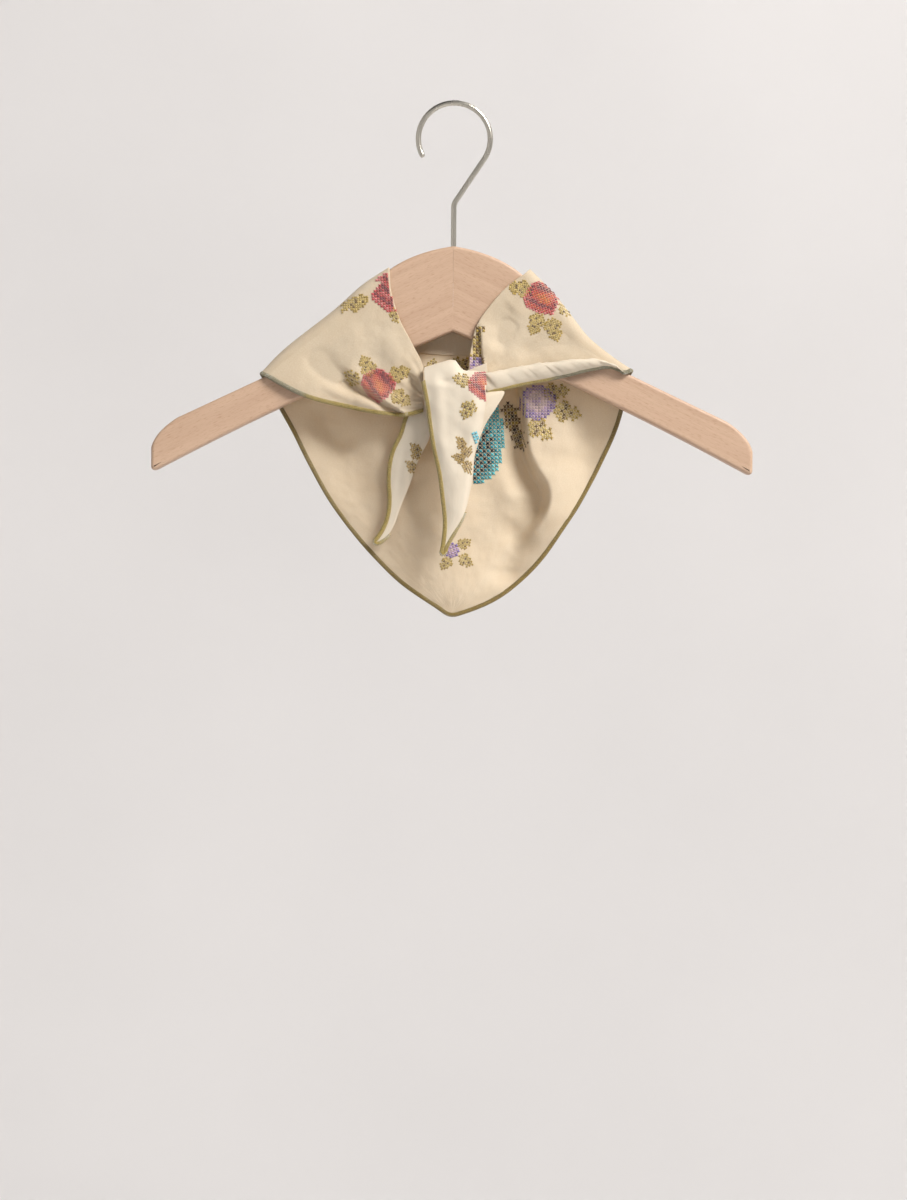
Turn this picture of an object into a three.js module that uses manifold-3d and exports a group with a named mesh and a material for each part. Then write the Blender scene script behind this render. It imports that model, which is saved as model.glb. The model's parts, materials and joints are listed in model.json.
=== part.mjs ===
// A child's voile neckerchief with a merrowed hem, tied in a half knot round a flat beech clothes hanger.
// Millimetres, +Z up, +X to the viewer's right, with the viewer on the -Y side.
// The origin is the inside top of the hook's bend, where the hanger hangs.

import * as THREE from "three";
import Module from "manifold-3d";
import { mergeVertices } from "three/addons/utils/BufferGeometryUtils.js";

const wasm = await Module();
wasm.setup();

// Hanger: two mitred halves cut from one board
const HANGER_SPAN = 300;
const HANGER_THICKNESS = 12;
const HANGER_EDGE = 1.5; // rounding of the board's long edges
const CROWN_DEPTH = 42.5; // from the crown's top down to the notch under the mitre
const CROWN_REACH = 34; // from the mitre out to where the swan neck starts
const CROWN_FALL = 13.6;
const ARM_DEPTH = 19;
const ARM_ANGLE = 25.4; // degrees below level
const ARM_BOW = 2.2; // how far the lower edge arches up along its length
const ARM_END_RADIUS = 13;
const ARM_CORNER = 1.6;
const NECK_REACH = 80; // from the mitre out to where the straight arm starts
const FIT_GAP = 0.3; // between pieces that touch

// Hook: bent wire, screwed into the crown
const WIRE_DIAMETER = 2.75;
const HOOK_INSIDE_RADIUS = 16.6;
const HOOK_DROP = 70.6; // from the hook's inside top down to the crown's top
const HOOK_SLANT = 33.6; // degrees that the wire leans out from the shank
const HOOK_END_ANGLE = 207; // degrees round the bend, from level on the shank's leaning side
const SHANK_BEND_RADIUS = 6;
const SHANK_IN_WOOD = 18;

// Neckerchief: one triangle of cloth
const CLOTH_THICKNESS = 1.2;
const HEM_WIDTH = 2.5;
const BRIDGE_HEIGHT = 9; // how far the taut shoulder fold clears the swan neck
const PANEL_LENGTH = 121; // from the shoulders' outer corners down to the back panel's point
const NECK_SAG = 16; // dip of the neck edge behind the crown
const FOLD_DEPTH = 5; // deepest fold of the back panel
const BAND_BULGE = 4.5; // how far the right flap's rolled band stands out
const KNOT_DEPTH = 14.5; // from the flaps' plane out to the front tail
const KNOT_WIDTH = 33;
const KNOT_HEIGHT = 26;
const KNOT_DROP = 14.5; // from the notch under the mitre down to the knot's top
const FRONT_TAIL_LENGTH = 97;
const SIDE_TAIL_LENGTH = 68;
const ROLL_THICKNESS = 3.2; // cloth gathered where it goes into the knot

// Mesh fineness
const FOLD_STEPS = 7;
const ROUND_STEPS = 6;
const SIDE_STEPS = 15;
const PANEL_STEPS = 20;
const FLAP_STEPS = 10;
const STRAND_STEPS = 20;
const STRAND_WIDTH_STEPS = 5;
const HEM_SIDES = 6;
const WIRE_SIDES = 8;

// Shoulder folds: out in shares of half the hanger's span, clear in shares of the bridge height
const LEFT_SHOULDER = [
  { out: 0.216, clear: 0.0 },
  { out: 0.3, clear: 0.55 },
  { out: 0.392, clear: 0.98 },
  { out: 0.568, clear: 0.85 },
  { out: 0.632, clear: 0.22 },
];
const RIGHT_SHOULDER = [
  { out: 0.257, clear: 0.62 },
  { out: 0.335, clear: 0.95 },
  { out: 0.404, clear: 1.0 },
  { out: 0.53, clear: 0.85 },
  { out: 0.591, clear: 0.2 },
];

// Back panel's two sides: down in shares of its length, left and right in shares of each shoulder's reach
const PANEL_SIDES = [
  { down: 0.153, left: 0.905, right: 0.938 },
  { down: 0.245, left: 0.828, right: 0.888 },
  { down: 0.365, left: 0.746, right: 0.81 },
  { down: 0.527, left: 0.63, right: 0.69 },
  { down: 0.659, left: 0.504, right: 0.574 },
  { down: 0.76, left: 0.372, right: 0.47 },
  { down: 0.859, left: 0.25, right: 0.35 },
  { down: 0.925, left: 0.134, right: 0.23 },
  { down: 0.965, left: 0.062, right: 0.12 },
  { down: 0.99, left: 0.014, right: 0.014 },
];

// Back panel's folds, each along a line: x in shares of the panel's half width, z in shares of its length,
// width in shares of its half width, and height in shares of the fold depth, towards the viewer
const PANEL_FOLDS = [
  { x: 0.27, z: 0.12, toX: 0.3, toZ: 0.52, width: 0.07, height: -0.9 },
  { x: 0.42, z: 0.14, toX: 0.5, toZ: 0.44, width: 0.06, height: 0.9 },
  { x: 0.5, z: 0.44, toX: 0.4, toZ: 0.7, width: 0.07, height: 0.7 },
  { x: 0.78, z: 0.22, toX: 0.66, toZ: 0.5, width: 0.07, height: -0.5 },
  { x: 0.0, z: 0.75, toX: 0.1, toZ: 0.9, width: 0.2, height: 0.6 },
  { x: -0.65, z: 0.2, toX: -0.5, toZ: 0.4, width: 0.14, height: 0.5 },
  { x: -0.36, z: 0.2, toX: -0.3, toZ: 0.6, width: 0.1, height: -0.5 },
];

// Flaps: neck edge and hem in shares of the way from the shoulder fold to the knot and of the flap's drop
const LEFT_NECK_EDGE = [
  { toKnot: 0.2, across: -0.07 },
  { toKnot: 0.5, across: -0.12 },
  { toKnot: 0.8, across: 0.02 },
];
const LEFT_HEM = [
  { toKnot: 0.18, across: 0.02 },
  { toKnot: 0.42, across: 0.06 },
  { toKnot: 0.74, across: 0.07 },
];
const RIGHT_NECK_EDGE = [
  { toKnot: 0.16, across: -0.1 },
  { toKnot: 0.35, across: -0.2 },
  { toKnot: 0.64, across: -0.3 },
  { toKnot: 0.86, across: -0.32 },
  { toKnot: 0.96, across: -0.17 },
];
const RIGHT_HEM = [
  { toKnot: 0.12, across: 0.01 },
  { toKnot: 0.42, across: 0.0 },
  { toKnot: 0.72, across: -0.01 },
];

// How far the flaps lift off the hanger on their way to the knot, in shares of the knot's depth
const FLAP_LIFT = [
  { toKnot: 0, neck: 0, middle: 0, hem: 0.05 },
  { toKnot: 0.4, neck: 0.03, middle: 0.1, hem: 0.14 },
  { toKnot: 0.75, neck: 0.2, middle: 0.28, hem: 0.3 },
  { toKnot: 1, neck: 0.46, middle: 0.52, hem: 0.46 },
];

// Strands through the knot: x in shares of the knot's half width, z in shares of a length below its top,
// a and b the strand's two edges, out in shares of the knot's depth, gather in shares of the roll's thickness
const CROSSING_STRAND = [
  { ax: -0.95, az: 0.45, bx: -0.8, bz: 0.98, out: 0.5, gather: 0.7 },
  { ax: -0.35, az: 0.42, bx: -0.2, bz: 0.96, out: 0.66, gather: 1 },
  { ax: 0.3, az: 0.42, bx: 0.45, bz: 0.92, out: 0.62, gather: 1 },
  { ax: 0.68, az: 0.44, bx: 0.74, bz: 0.9, out: 0.3, gather: 0.9 },
  { ax: 0.4, az: 0.4, bx: 0.42, bz: 0.88, out: 0.02, gather: 0.9 },
  { ax: -0.2, az: 0.3, bx: -0.1, bz: 0.78, out: -0.06, gather: 1 },
];
const FRONT_TAIL = [
  { ax: -0.56, az: 0.155, bx: 0.5, bz: 0.155, out: -0.02, gather: 0.8 },
  { ax: -0.72, az: 0.05, bx: 0.62, bz: 0.06, out: 0.2, gather: 0.6 },
  { ax: -0.8, az: 0.01, bx: 0.76, bz: 0.04, out: 0.56, gather: 0.5 },
  { ax: -0.8, az: 0.11, bx: 1.0, bz: 0.12, out: 0.94, gather: 0.45 },
  { ax: -0.68, az: 0.25, bx: 1.22, bz: 0.24, out: 0.9, gather: 0.4 },
  { ax: -0.6, az: 0.33, bx: 0.98, bz: 0.33, out: 0.84, gather: 0.4 },
  { ax: -0.44, az: 0.45, bx: 0.72, bz: 0.45, out: 0.76, gather: 0.4 },
  { ax: -0.22, az: 0.6, bx: 0.64, bz: 0.6, out: 0.66, gather: 0.4 },
  { ax: -0.1, az: 0.8, bx: 0.34, bz: 0.8, out: 0.52, gather: 0.4 },
  { ax: -0.14, az: 0.93, bx: 0.06, bz: 0.93, out: 0.46, gather: 0.4 },
  { ax: -0.2, az: 1.0, bx: -0.16, bz: 0.995, out: 0.44, gather: 0.4 },
];
const SIDE_TAIL = [
  { ax: 1.02, az: 0.02, bx: 1.1, bz: 0.17, out: 0.38, gather: 0.9 },
  { ax: 0.1, az: 0.1, bx: 0.2, bz: 0.3, out: 0.26, gather: 1 },
  { ax: -0.65, az: 0.2, bx: -0.35, bz: 0.4, out: 0.24, gather: 0.9 },
  { ax: -1.25, az: 0.34, bx: -0.68, bz: 0.45, out: 0.2, gather: 0.6 },
  { ax: -1.46, az: 0.47, bx: -0.7, bz: 0.5, out: 0.12, gather: 0.4 },
  { ax: -1.74, az: 0.62, bx: -0.98, bz: 0.63, out: -0.08, gather: 0.4 },
  { ax: -1.78, az: 0.76, bx: -1.24, bz: 0.78, out: -0.2, gather: 0.4 },
  { ax: -1.78, az: 0.9, bx: -1.5, bz: 0.93, out: -0.3, gather: 0.4 },
  { ax: -1.98, az: 1.04, bx: -1.78, bz: 1.05, out: -0.37, gather: 0.4 },
  { ax: -2.16, az: 1.12, bx: -2.1, bz: 1.125, out: -0.4, gather: 0.4 },
];

// Where each flap goes into the knot: out in shares of the knot's half width, down in shares of its height
const LEFT_ENTRY = { neck: { out: 0.88, down: 0.48 }, hem: { out: 0.9, down: 0.95 } };
const RIGHT_ENTRY = { neck: { out: 0.5, down: 0.22 }, hem: { out: 1.06, down: 0.62 } };

const radians = THREE.MathUtils.degToRad;
const lerp = THREE.MathUtils.lerp;
const halfSpan = HANGER_SPAN / 2;
const crownTop = -HOOK_DROP;
const notch = crownTop - CROWN_DEPTH;
const armSlope = Math.tan(radians(ARM_ANGLE));
const armTopStart = notch - NECK_REACH * armSlope + ARM_DEPTH / Math.cos(radians(ARM_ANGLE));
const clothPlane = HANGER_THICKNESS / 2 + FIT_GAP + CLOTH_THICKNESS / 2;
const clothClear = FIT_GAP + CLOTH_THICKNESS / 2;
const hemPlane = HANGER_THICKNESS / 2 + FIT_GAP + HEM_WIDTH / 2;
const hemRadius = HEM_WIDTH / 2;
const hemOffset = hemRadius + FIT_GAP;
const knotTop = notch - KNOT_DROP;

const cotton = new THREE.MeshStandardMaterial({ color: 0xead8b4, roughness: 0.9, metalness: 0 });
const thread = new THREE.MeshStandardMaterial({ color: 0x84713a, roughness: 0.8, metalness: 0 });
const beech = new THREE.MeshStandardMaterial({ color: 0xd9b594, roughness: 0.6, metalness: 0 });
const wire = new THREE.MeshStandardMaterial({ color: 0xc9c8c2, roughness: 0.25, metalness: 1 });

// A closed mesh as a solid that can be joined and cut, and back again
function toSolid(geometry) {
  const bare = geometry.clone();
  bare.deleteAttribute("normal");
  bare.deleteAttribute("uv");
  const merged = mergeVertices(bare, 1e-4);
  return new wasm.Manifold(
    new wasm.Mesh({
      numProp: 3,
      vertProperties: new Float32Array(merged.attributes.position.array),
      triVerts: new Uint32Array(merged.index.array),
    }),
  );
}

function toGeometry(solid) {
  const mesh = solid.getMesh();
  const geometry = new THREE.BufferGeometry();
  geometry.setAttribute("position", new THREE.BufferAttribute(mesh.vertProperties, 3));
  geometry.setIndex(new THREE.BufferAttribute(mesh.triVerts, 1));
  geometry.computeVertexNormals();
  return geometry;
}

function named(name, geometry, material) {
  const mesh = new THREE.Mesh(geometry, material);
  mesh.name = name;
  return mesh;
}

// Adds the hanger's upper edge from the mitre to the arm's end, on the right or left side
function upperEdge(path, side) {
  const armTopEnd = armTopStart - (halfSpan - ARM_END_RADIUS - NECK_REACH) * armSlope;
  const crownEnd = crownTop - CROWN_FALL;
  path.bezierCurveTo(
    side * CROWN_REACH * 0.4, crownTop - CROWN_FALL * 0.15,
    side * CROWN_REACH * 0.74, crownTop - CROWN_FALL * 0.47,
    side * CROWN_REACH, crownEnd,
  );
  path.bezierCurveTo(
    side * lerp(CROWN_REACH, NECK_REACH, 0.26), lerp(crownEnd, armTopStart, 0.24),
    side * lerp(CROWN_REACH, NECK_REACH, 0.63), armTopStart + 0.37 * (NECK_REACH - CROWN_REACH) * armSlope,
    side * NECK_REACH, armTopStart,
  );
  path.lineTo(side * (halfSpan - ARM_END_RADIUS), armTopEnd);
  path.quadraticCurveTo(
    side * (halfSpan - ARM_END_RADIUS * 0.14), armTopEnd - ARM_END_RADIUS * 0.55,
    side * halfSpan, armTopEnd - ARM_END_RADIUS * 1.15,
  );
  return path;
}

// Height of the wood's upper edge at a distance out from the mitre
function woodTop(out) {
  const edge = upperEdge(new THREE.Path().moveTo(0, crownTop), 1).getPoints(24);
  const next = edge.findIndex((point) => point.x >= out);
  const from = edge[next - 1];
  return lerp(from.y, edge[next].y, (out - from.x) / (edge[next].x - from.x));
}

function hangerOutline() {
  const endLow = notch - halfSpan * armSlope;
  const shape = new THREE.Shape();
  shape.moveTo(0, crownTop);
  upperEdge(shape, 1);
  shape.lineTo(halfSpan, endLow + ARM_CORNER);
  shape.lineTo(halfSpan - ARM_CORNER, endLow + ARM_CORNER * armSlope);
  shape.quadraticCurveTo(halfSpan / 2, notch - (halfSpan / 2) * armSlope + 2 * ARM_BOW, 0, notch);
  const right = shape.getPoints(7);
  const left = right.slice(1, -1).map((point) => new THREE.Vector2(-point.x, point.y));
  return new THREE.Shape([...right, ...left.reverse()]);
}

// One half of the hanger, cut from the whole outline along the mitre, with the hook's bore
function hangerArm(side) {
  const board = new THREE.ExtrudeGeometry(hangerOutline(), {
    depth: HANGER_THICKNESS - 2 * HANGER_EDGE,
    bevelThickness: HANGER_EDGE,
    bevelSize: HANGER_EDGE,
    bevelOffset: -HANGER_EDGE,
    bevelSegments: 2,
    steps: 1,
  });
  board.translate(0, 0, HANGER_EDGE - HANGER_THICKNESS / 2);
  board.rotateX(Math.PI / 2);
  const boreRadius = WIRE_DIAMETER / 2 + FIT_GAP;
  const boreDepth = SHANK_IN_WOOD + FIT_GAP;
  const bore = new THREE.CylinderGeometry(boreRadius, boreRadius, 2 * boreDepth, WIRE_SIDES);
  bore.rotateX(Math.PI / 2);
  bore.translate(0, 0, crownTop);
  const otherHalf = new THREE.BoxGeometry(HANGER_SPAN, 2 * HANGER_THICKNESS, 4 * HANGER_SPAN);
  otherHalf.translate(-side * (halfSpan - FIT_GAP / 2), 0, 0);
  return toGeometry(toSolid(board).subtract(toSolid(otherHalf)).subtract(toSolid(bore)));
}

// A round bar along a curve
function bar(curve, radius, sides, steps) {
  const section = new THREE.Shape(new THREE.EllipseCurve(0, 0, radius, radius).getPoints(sides).slice(0, -1));
  return new THREE.ExtrudeGeometry(section, { steps, extrudePath: curve, bevelEnabled: false });
}

function hookWire() {
  const radius = HOOK_INSIDE_RADIUS + WIRE_DIAMETER / 2;
  const slant = radians(HOOK_SLANT);
  const centre = -HOOK_INSIDE_RADIUS;
  const bend = centre - radius / Math.sin(slant);
  const bendReach = SHANK_BEND_RADIUS * Math.tan(slant / 2);
  const leaned = (along) => new THREE.Vector3(along * Math.sin(slant), 0, bend + along * Math.cos(slant));
  const points = [new THREE.Vector3(0, 0, crownTop - SHANK_IN_WOOD)];
  points.push(new THREE.Vector3(0, 0, (crownTop + bend) / 2));
  points.push(new THREE.Vector3(0, 0, bend - bendReach));
  points.push(leaned(bendReach));
  points.push(leaned((radius / Math.tan(slant)) * 0.55));
  const turns = 16;
  for (let i = 0; i <= turns; i++) {
    const angle = lerp(-slant, radians(HOOK_END_ANGLE), i / turns);
    points.push(new THREE.Vector3(radius * Math.cos(angle), 0, centre + radius * Math.sin(angle)));
  }
  return bar(new THREE.CatmullRomCurve3(points, false, "centripetal"), WIRE_DIAMETER / 2, WIRE_SIDES, 48);
}

// A smooth value at a place along rows that have a rising key
function along(rows, key, column, place) {
  const last = rows.length - 1;
  const next = Math.max(1, rows.findIndex((row, i) => i === last || row[key] >= place));
  const share = (place - rows[next - 1][key]) / (rows[next][key] - rows[next - 1][key]);
  return lerp(rows[next - 1][column], rows[next][column], THREE.MathUtils.smoothstep(share, 0, 1));
}

// Top of the shoulder fold, from the neck corner to the outer corner
function shoulderFold(rows, side) {
  const points = rows.map(({ out, clear }) => {
    const x = out * halfSpan;
    return new THREE.Vector3(side * x, 0, woodTop(x) + clothClear * 1.4 + clear * BRIDGE_HEIGHT);
  });
  return new THREE.CatmullRomCurve3(points, false, "centripetal").getSpacedPoints(FOLD_STEPS);
}

// The cloth goes over the board's edge, from the top (step 0) to its back (face 1) or front (face -1)
function roundOver(top, next, flow, face, step, plane) {
  const point = top.clone();
  if (step === 0) return point;
  const across = new THREE.Vector3().subVectors(next, top).normalize();
  const down = new THREE.Vector3(-across.z, 0, across.x);
  if (down.z > 0) down.negate();
  const corner = HANGER_EDGE + plane - HANGER_THICKNESS / 2;
  const angle = ((step - 1) / (ROUND_STEPS / 2 - 1)) * (Math.PI / 2);
  const drop = corner * (1 - Math.cos(angle));
  point.addScaledVector(flow, drop / Math.max(0.5, flow.dot(down)));
  point.y = face * (plane - corner * (1 - Math.sin(angle)));
  return point;
}

function foldHeight(x, z, reach, top) {
  const place = new THREE.Vector3(x / reach, 0, (top - z) / PANEL_LENGTH);
  let height = 0;
  for (const fold of PANEL_FOLDS) {
    const ridge = new THREE.Line3(
      new THREE.Vector3(fold.x, 0, fold.z),
      new THREE.Vector3(fold.toX, 0, fold.toZ),
    );
    const nearest = ridge.closestPointToPoint(place, true, new THREE.Vector3());
    const distance = nearest.distanceTo(place) / fold.width;
    height += fold.height * Math.exp(-distance * distance);
  }
  const free = THREE.MathUtils.smoothstep(place.z, 0.1, 0.32);
  return height * free * FOLD_DEPTH;
}

// A patch of cloth between four edges, each an array of points, given by its share along and across
function patch(first, last, start, end) {
  const rows = [];
  for (let i = 0; i < first.length; i++) {
    const u = i / (first.length - 1);
    const row = [];
    for (let j = 0; j < start.length; j++) {
      const v = j / (start.length - 1);
      const point = new THREE.Vector3();
      point.addScaledVector(first[i], 1 - v).addScaledVector(last[i], v);
      point.addScaledVector(start[j], 1 - u).addScaledVector(end[j], u);
      point.addScaledVector(start[0], -(1 - u) * (1 - v)).addScaledVector(start.at(-1), -(1 - u) * v);
      point.addScaledVector(end[0], -u * (1 - v)).addScaledVector(end.at(-1), -u * v);
      row.push(point);
    }
    rows.push(row);
  }
  return rows;
}

// One edge of a flap, from the shoulder to the knot, bowed by its rows
function flapEdge(from, to, rows, drop) {
  const points = [from];
  for (const { toKnot, across } of rows) {
    const point = from.clone().lerp(to, toKnot);
    point.z -= across * drop;
    points.push(point);
  }
  points.push(to);
  return new THREE.CatmullRomCurve3(points, false, "centripetal").getSpacedPoints(FLAP_STEPS);
}

// Cloth's middle surface: points, four-cornered cells and the thickness at each point
class Cloth {
  points = [];
  cells = [];
  thick = [];
  seen = new Map();

  add(point, thickness = CLOTH_THICKNESS) {
    const key = point.toArray().map((value) => Math.round(value * 1000)).join();
    if (!this.seen.has(key)) {
      this.seen.set(key, this.points.length);
      this.points.push(point);
      this.thick.push(thickness);
    }
    return this.seen.get(key);
  }

  grid(rows, thickness, turned = false) {
    const ids = rows.map((row, i) => row.map((point, j) => this.add(point, thickness?.(i, j))));
    for (let i = 0; i < ids.length - 1; i++) {
      for (let j = 0; j < ids[i].length - 1; j++) {
        const cell = [ids[i][j], ids[i + 1][j], ids[i + 1][j + 1], ids[i][j + 1]];
        this.cells.push(turned ? cell.reverse() : cell);
      }
    }
  }

  triangles() {
    return this.cells.flatMap(([a, b, c, d]) => [[a, b, c], [a, c, d]]).filter((t) => new Set(t).size === 3);
  }

  normals() {
    const geometry = new THREE.BufferGeometry().setFromPoints(this.points);
    geometry.setIndex(this.triangles().flat());
    geometry.computeVertexNormals();
    return this.points.map((_, i) => new THREE.Vector3().fromBufferAttribute(geometry.attributes.normal, i));
  }

  solid() {
    const normals = this.normals();
    const count = this.points.length;
    const outer = this.points.map((point, i) => point.clone().addScaledVector(normals[i], this.thick[i] / 2));
    const inner = this.points.map((point, i) => point.clone().addScaledVector(normals[i], -this.thick[i] / 2));
    const triangles = this.triangles();
    const index = triangles.flatMap(([a, b, c]) => [a, b, c, count + a, count + c, count + b]);
    const edges = new Set(triangles.flatMap(([a, b, c]) => [a + "," + b, b + "," + c, c + "," + a]));
    for (const edge of edges) {
      const [a, b] = edge.split(",").map(Number);
      if (!edges.has(b + "," + a)) index.push(b, a, count + a, b, count + a, count + b);
    }
    const geometry = new THREE.BufferGeometry().setFromPoints([...outer, ...inner]);
    geometry.setIndex(index);
    return toSolid(geometry);
  }
}

// Left or right shoulder: its fold, the edges it gives to the panel and the flap, and its outer rim
function shoulder(rows, side) {
  const top = shoulderFold(rows, side);
  const outerDown = { back: new THREE.Vector3(-side * 0.5, 0, -0.86), front: new THREE.Vector3(-side * 0.9, 0, -0.44) };
  const neckDown = { back: new THREE.Vector3(-side * 0.35, 0, -0.94), front: new THREE.Vector3(-side * 0.12, 0, -0.99) };
  const arches = top.map((point, i) => {
    const next = i < top.length - 1 ? top[i + 1] : point.clone().multiplyScalar(2).sub(top[i - 1]);
    const share = i / (top.length - 1);
    const plane = lerp(clothPlane, hemPlane, share);
    const arch = [];
    for (let step = ROUND_STEPS / 2; step >= 0; step--) {
      const flow = neckDown.back.clone().lerp(outerDown.back, share).normalize();
      arch.push(roundOver(point, next, flow, 1, step, plane));
    }
    for (let step = 1; step <= ROUND_STEPS / 2; step++) {
      const flow = neckDown.front.clone().lerp(outerDown.front, share).normalize();
      arch.push(roundOver(point, next, flow, -1, step, plane));
    }
    return arch;
  });
  return { top, arches, back: arches.map((arch) => arch[0]), front: arches.map((arch) => arch.at(-1)) };
}

// The back panel's side, from the shoulder's outer corner to the point
function panelSide(shoulderEnd, top, column) {
  const points = [shoulderEnd];
  for (const row of PANEL_SIDES) {
    points.push(new THREE.Vector3(shoulderEnd.x * row[column], hemPlane, top - row.down * PANEL_LENGTH));
  }
  return new THREE.CatmullRomCurve3(points, false, "centripetal").getSpacedPoints(SIDE_STEPS);
}

function backPanel(left, right) {
  const leftOuter = left.back.at(-1);
  const rightOuter = right.back.at(-1);
  const top = (left.top.at(-1).z + right.top.at(-1).z) / 2;
  const reach = (rightOuter.x - leftOuter.x) / 2;
  const leftEdge = [...left.back, ...panelSide(leftOuter, top, "left").slice(1)];
  const rightEdge = [...right.back, ...panelSide(rightOuter, top, "right").slice(1)];
  return leftEdge.map((from, i) => {
    const to = rightEdge[i];
    const sag = NECK_SAG * (1 - THREE.MathUtils.smoothstep(i / leftEdge.length, 0, 0.9));
    const row = [];
    for (let j = 0; j <= PANEL_STEPS; j++) {
      const share = j / PANEL_STEPS;
      const point = from.clone().lerp(to, share);
      point.z -= sag * 4 * share * (1 - share);
      if (i > 0 || (j > 0 && j < PANEL_STEPS)) point.y -= foldHeight(point.x, point.z, reach, top);
      row.push(point);
    }
    return row;
  });
}

// A flap, from the shoulder down to the knot: rows follow the fold, columns run to the knot
function flap(side, shoulderPart, entry, neckRows, hemRows, bulge) {
  const meet = ({ out, down }) => {
    return new THREE.Vector3((side * out * KNOT_WIDTH) / 2, -clothPlane, knotTop - down * KNOT_HEIGHT);
  };
  const neckEnd = meet(entry.neck);
  const hemEnd = meet(entry.hem);
  const fold = shoulderPart.front;
  const drop = fold[0].z - neckEnd.z;
  const neck = flapEdge(fold[0], neckEnd, neckRows, drop);
  const hem = flapEdge(fold.at(-1), hemEnd, hemRows, drop);
  const end = fold.map((_, i) => neckEnd.clone().lerp(hemEnd, i / (fold.length - 1)));
  const rows = patch(neck, hem, fold, end);
  return rows.map((row, i) =>
    row.map((point, j) => {
      const toKnot = i / (rows.length - 1);
      const across = j / (row.length - 1);
      const column = across < 0.5 ? ["neck", "middle", across * 2] : ["middle", "hem", across * 2 - 1];
      const lift = lerp(along(FLAP_LIFT, "toKnot", column[0], toKnot), along(FLAP_LIFT, "toKnot", column[1], toKnot), column[2]);
      point.y -= lift * KNOT_DEPTH + bulge(toKnot, across);
      return point;
    }),
  );
}

// The rolled band along the right flap's hem stands out from the flap
function bandBulge(toKnot, across) {
  const offRidge = (across - 0.88) / 0.13;
  return BAND_BULGE * Math.exp(-offRidge * offRidge) * THREE.MathUtils.smoothstep(toKnot, 0, 0.2);
}

// A strand of cloth through the knot or hanging from it
function strand(rows, length) {
  const edge = (x, z) => {
    const points = rows.map((row) => {
      return new THREE.Vector3(
        (row[x] * KNOT_WIDTH) / 2,
        -clothPlane - row.out * KNOT_DEPTH,
        knotTop - row[z] * length,
      );
    });
    return new THREE.CatmullRomCurve3(points, false, "centripetal");
  };
  const first = edge("ax", "az");
  const second = edge("bx", "bz");
  const grid = [];
  for (let i = 0; i <= STRAND_STEPS; i++) {
    const from = first.getPoint(i / STRAND_STEPS);
    const to = second.getPoint(i / STRAND_STEPS);
    const row = [];
    for (let j = 0; j <= STRAND_WIDTH_STEPS; j++) row.push(from.clone().lerp(to, j / STRAND_WIDTH_STEPS));
    grid.push(row);
  }
  const cloth = new Cloth();
  const gather = (i) => {
    const place = (i / STRAND_STEPS) * (rows.length - 1);
    const low = Math.min(rows.length - 2, Math.floor(place));
    return ROLL_THICKNESS * lerp(rows[low].gather, rows[low + 1].gather, place - low);
  };
  cloth.grid(grid, gather);
  return { solid: cloth.solid(), grid };
}

// A hem rope beside an edge of the cloth: each edge point is given with its neighbour inside the cloth
function hemRope(edge, inside, from, to) {
  const points = edge.map((point, i) => {
    const before = edge[Math.max(0, i - 1)];
    const after = edge[Math.min(edge.length - 1, i + 1)];
    const tangent = new THREE.Vector3().subVectors(after, before).normalize();
    const outward = new THREE.Vector3().subVectors(point, inside[i]);
    outward.addScaledVector(tangent, -outward.dot(tangent)).normalize();
    return point.clone().addScaledVector(outward, hemOffset);
  });
  const kept = points.slice(from, to);
  const steps = Math.round(kept.length * 1.5);
  return bar(new THREE.CatmullRomCurve3(kept, false, "centripetal"), hemRadius, HEM_SIDES, steps);
}

const left = shoulder(LEFT_SHOULDER, -1);
const right = shoulder(RIGHT_SHOULDER, 1);
const panel = backPanel(left, right);
const leftFlap = flap(-1, left, LEFT_ENTRY, LEFT_NECK_EDGE, LEFT_HEM, () => 0);
const rightFlap = flap(1, right, RIGHT_ENTRY, RIGHT_NECK_EDGE, RIGHT_HEM, bandBulge);

const cloth = new Cloth();
cloth.grid(panel, undefined);
cloth.grid(left.arches, undefined, true);
cloth.grid(right.arches, undefined);
cloth.grid(leftFlap, undefined);
cloth.grid(rightFlap, undefined, true);

const crossing = strand(CROSSING_STRAND, KNOT_HEIGHT);
const frontTail = strand(FRONT_TAIL, FRONT_TAIL_LENGTH);
const sideTail = strand(SIDE_TAIL, SIDE_TAIL_LENGTH + KNOT_HEIGHT / 2);
const kerchief = [crossing, frontTail, sideTail].reduce((whole, part) => whole.add(part.solid), cloth.solid());

// The hem runs from the knot round the left flap, the back panel's point and the right flap to the knot
function outerHem() {
  const edge = [];
  const inside = [];
  const take = (point, neighbour) => {
    if (edge.length && edge.at(-1).distanceTo(point) < 0.01) return;
    edge.push(point);
    inside.push(neighbour);
  };
  const rows = panel.slice(FOLD_STEPS);
  leftFlap.toReversed().forEach((row) => take(row.at(-1), row.at(-2)));
  left.arches.at(-1).toReversed().forEach((point, i) => take(point, left.arches.at(-2).toReversed()[i]));
  rows.forEach((row) => take(row[0], row[1]));
  rows.toReversed().forEach((row) => take(row.at(-1), row.at(-2)));
  right.arches.at(-1).forEach((point, i) => take(point, right.arches.at(-2)[i]));
  rightFlap.forEach((row) => take(row.at(-1), row.at(-2)));
  return hemRope(edge, inside, 1, edge.length - 1);
}

function tailHem(tail, from) {
  const edge = tail.grid.map((row) => row[0]);
  const inside = tail.grid.map((row) => row[1]);
  return hemRope(edge, inside, from, edge.length);
}

const part = new THREE.Group();
part.add(named("hanger_arm_left", hangerArm(-1), beech));
part.add(named("hanger_arm_right", hangerArm(1), beech.clone()));
part.add(named("hook", hookWire(), wire));
part.add(named("kerchief", toGeometry(kerchief), cotton));
part.add(named("hem_outer", outerHem(), thread));
part.add(named("hem_front_tail", tailHem(frontTail, 6), thread.clone()));
part.add(named("hem_side_tail", tailHem(sideTail, 9), thread.clone()));

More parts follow.
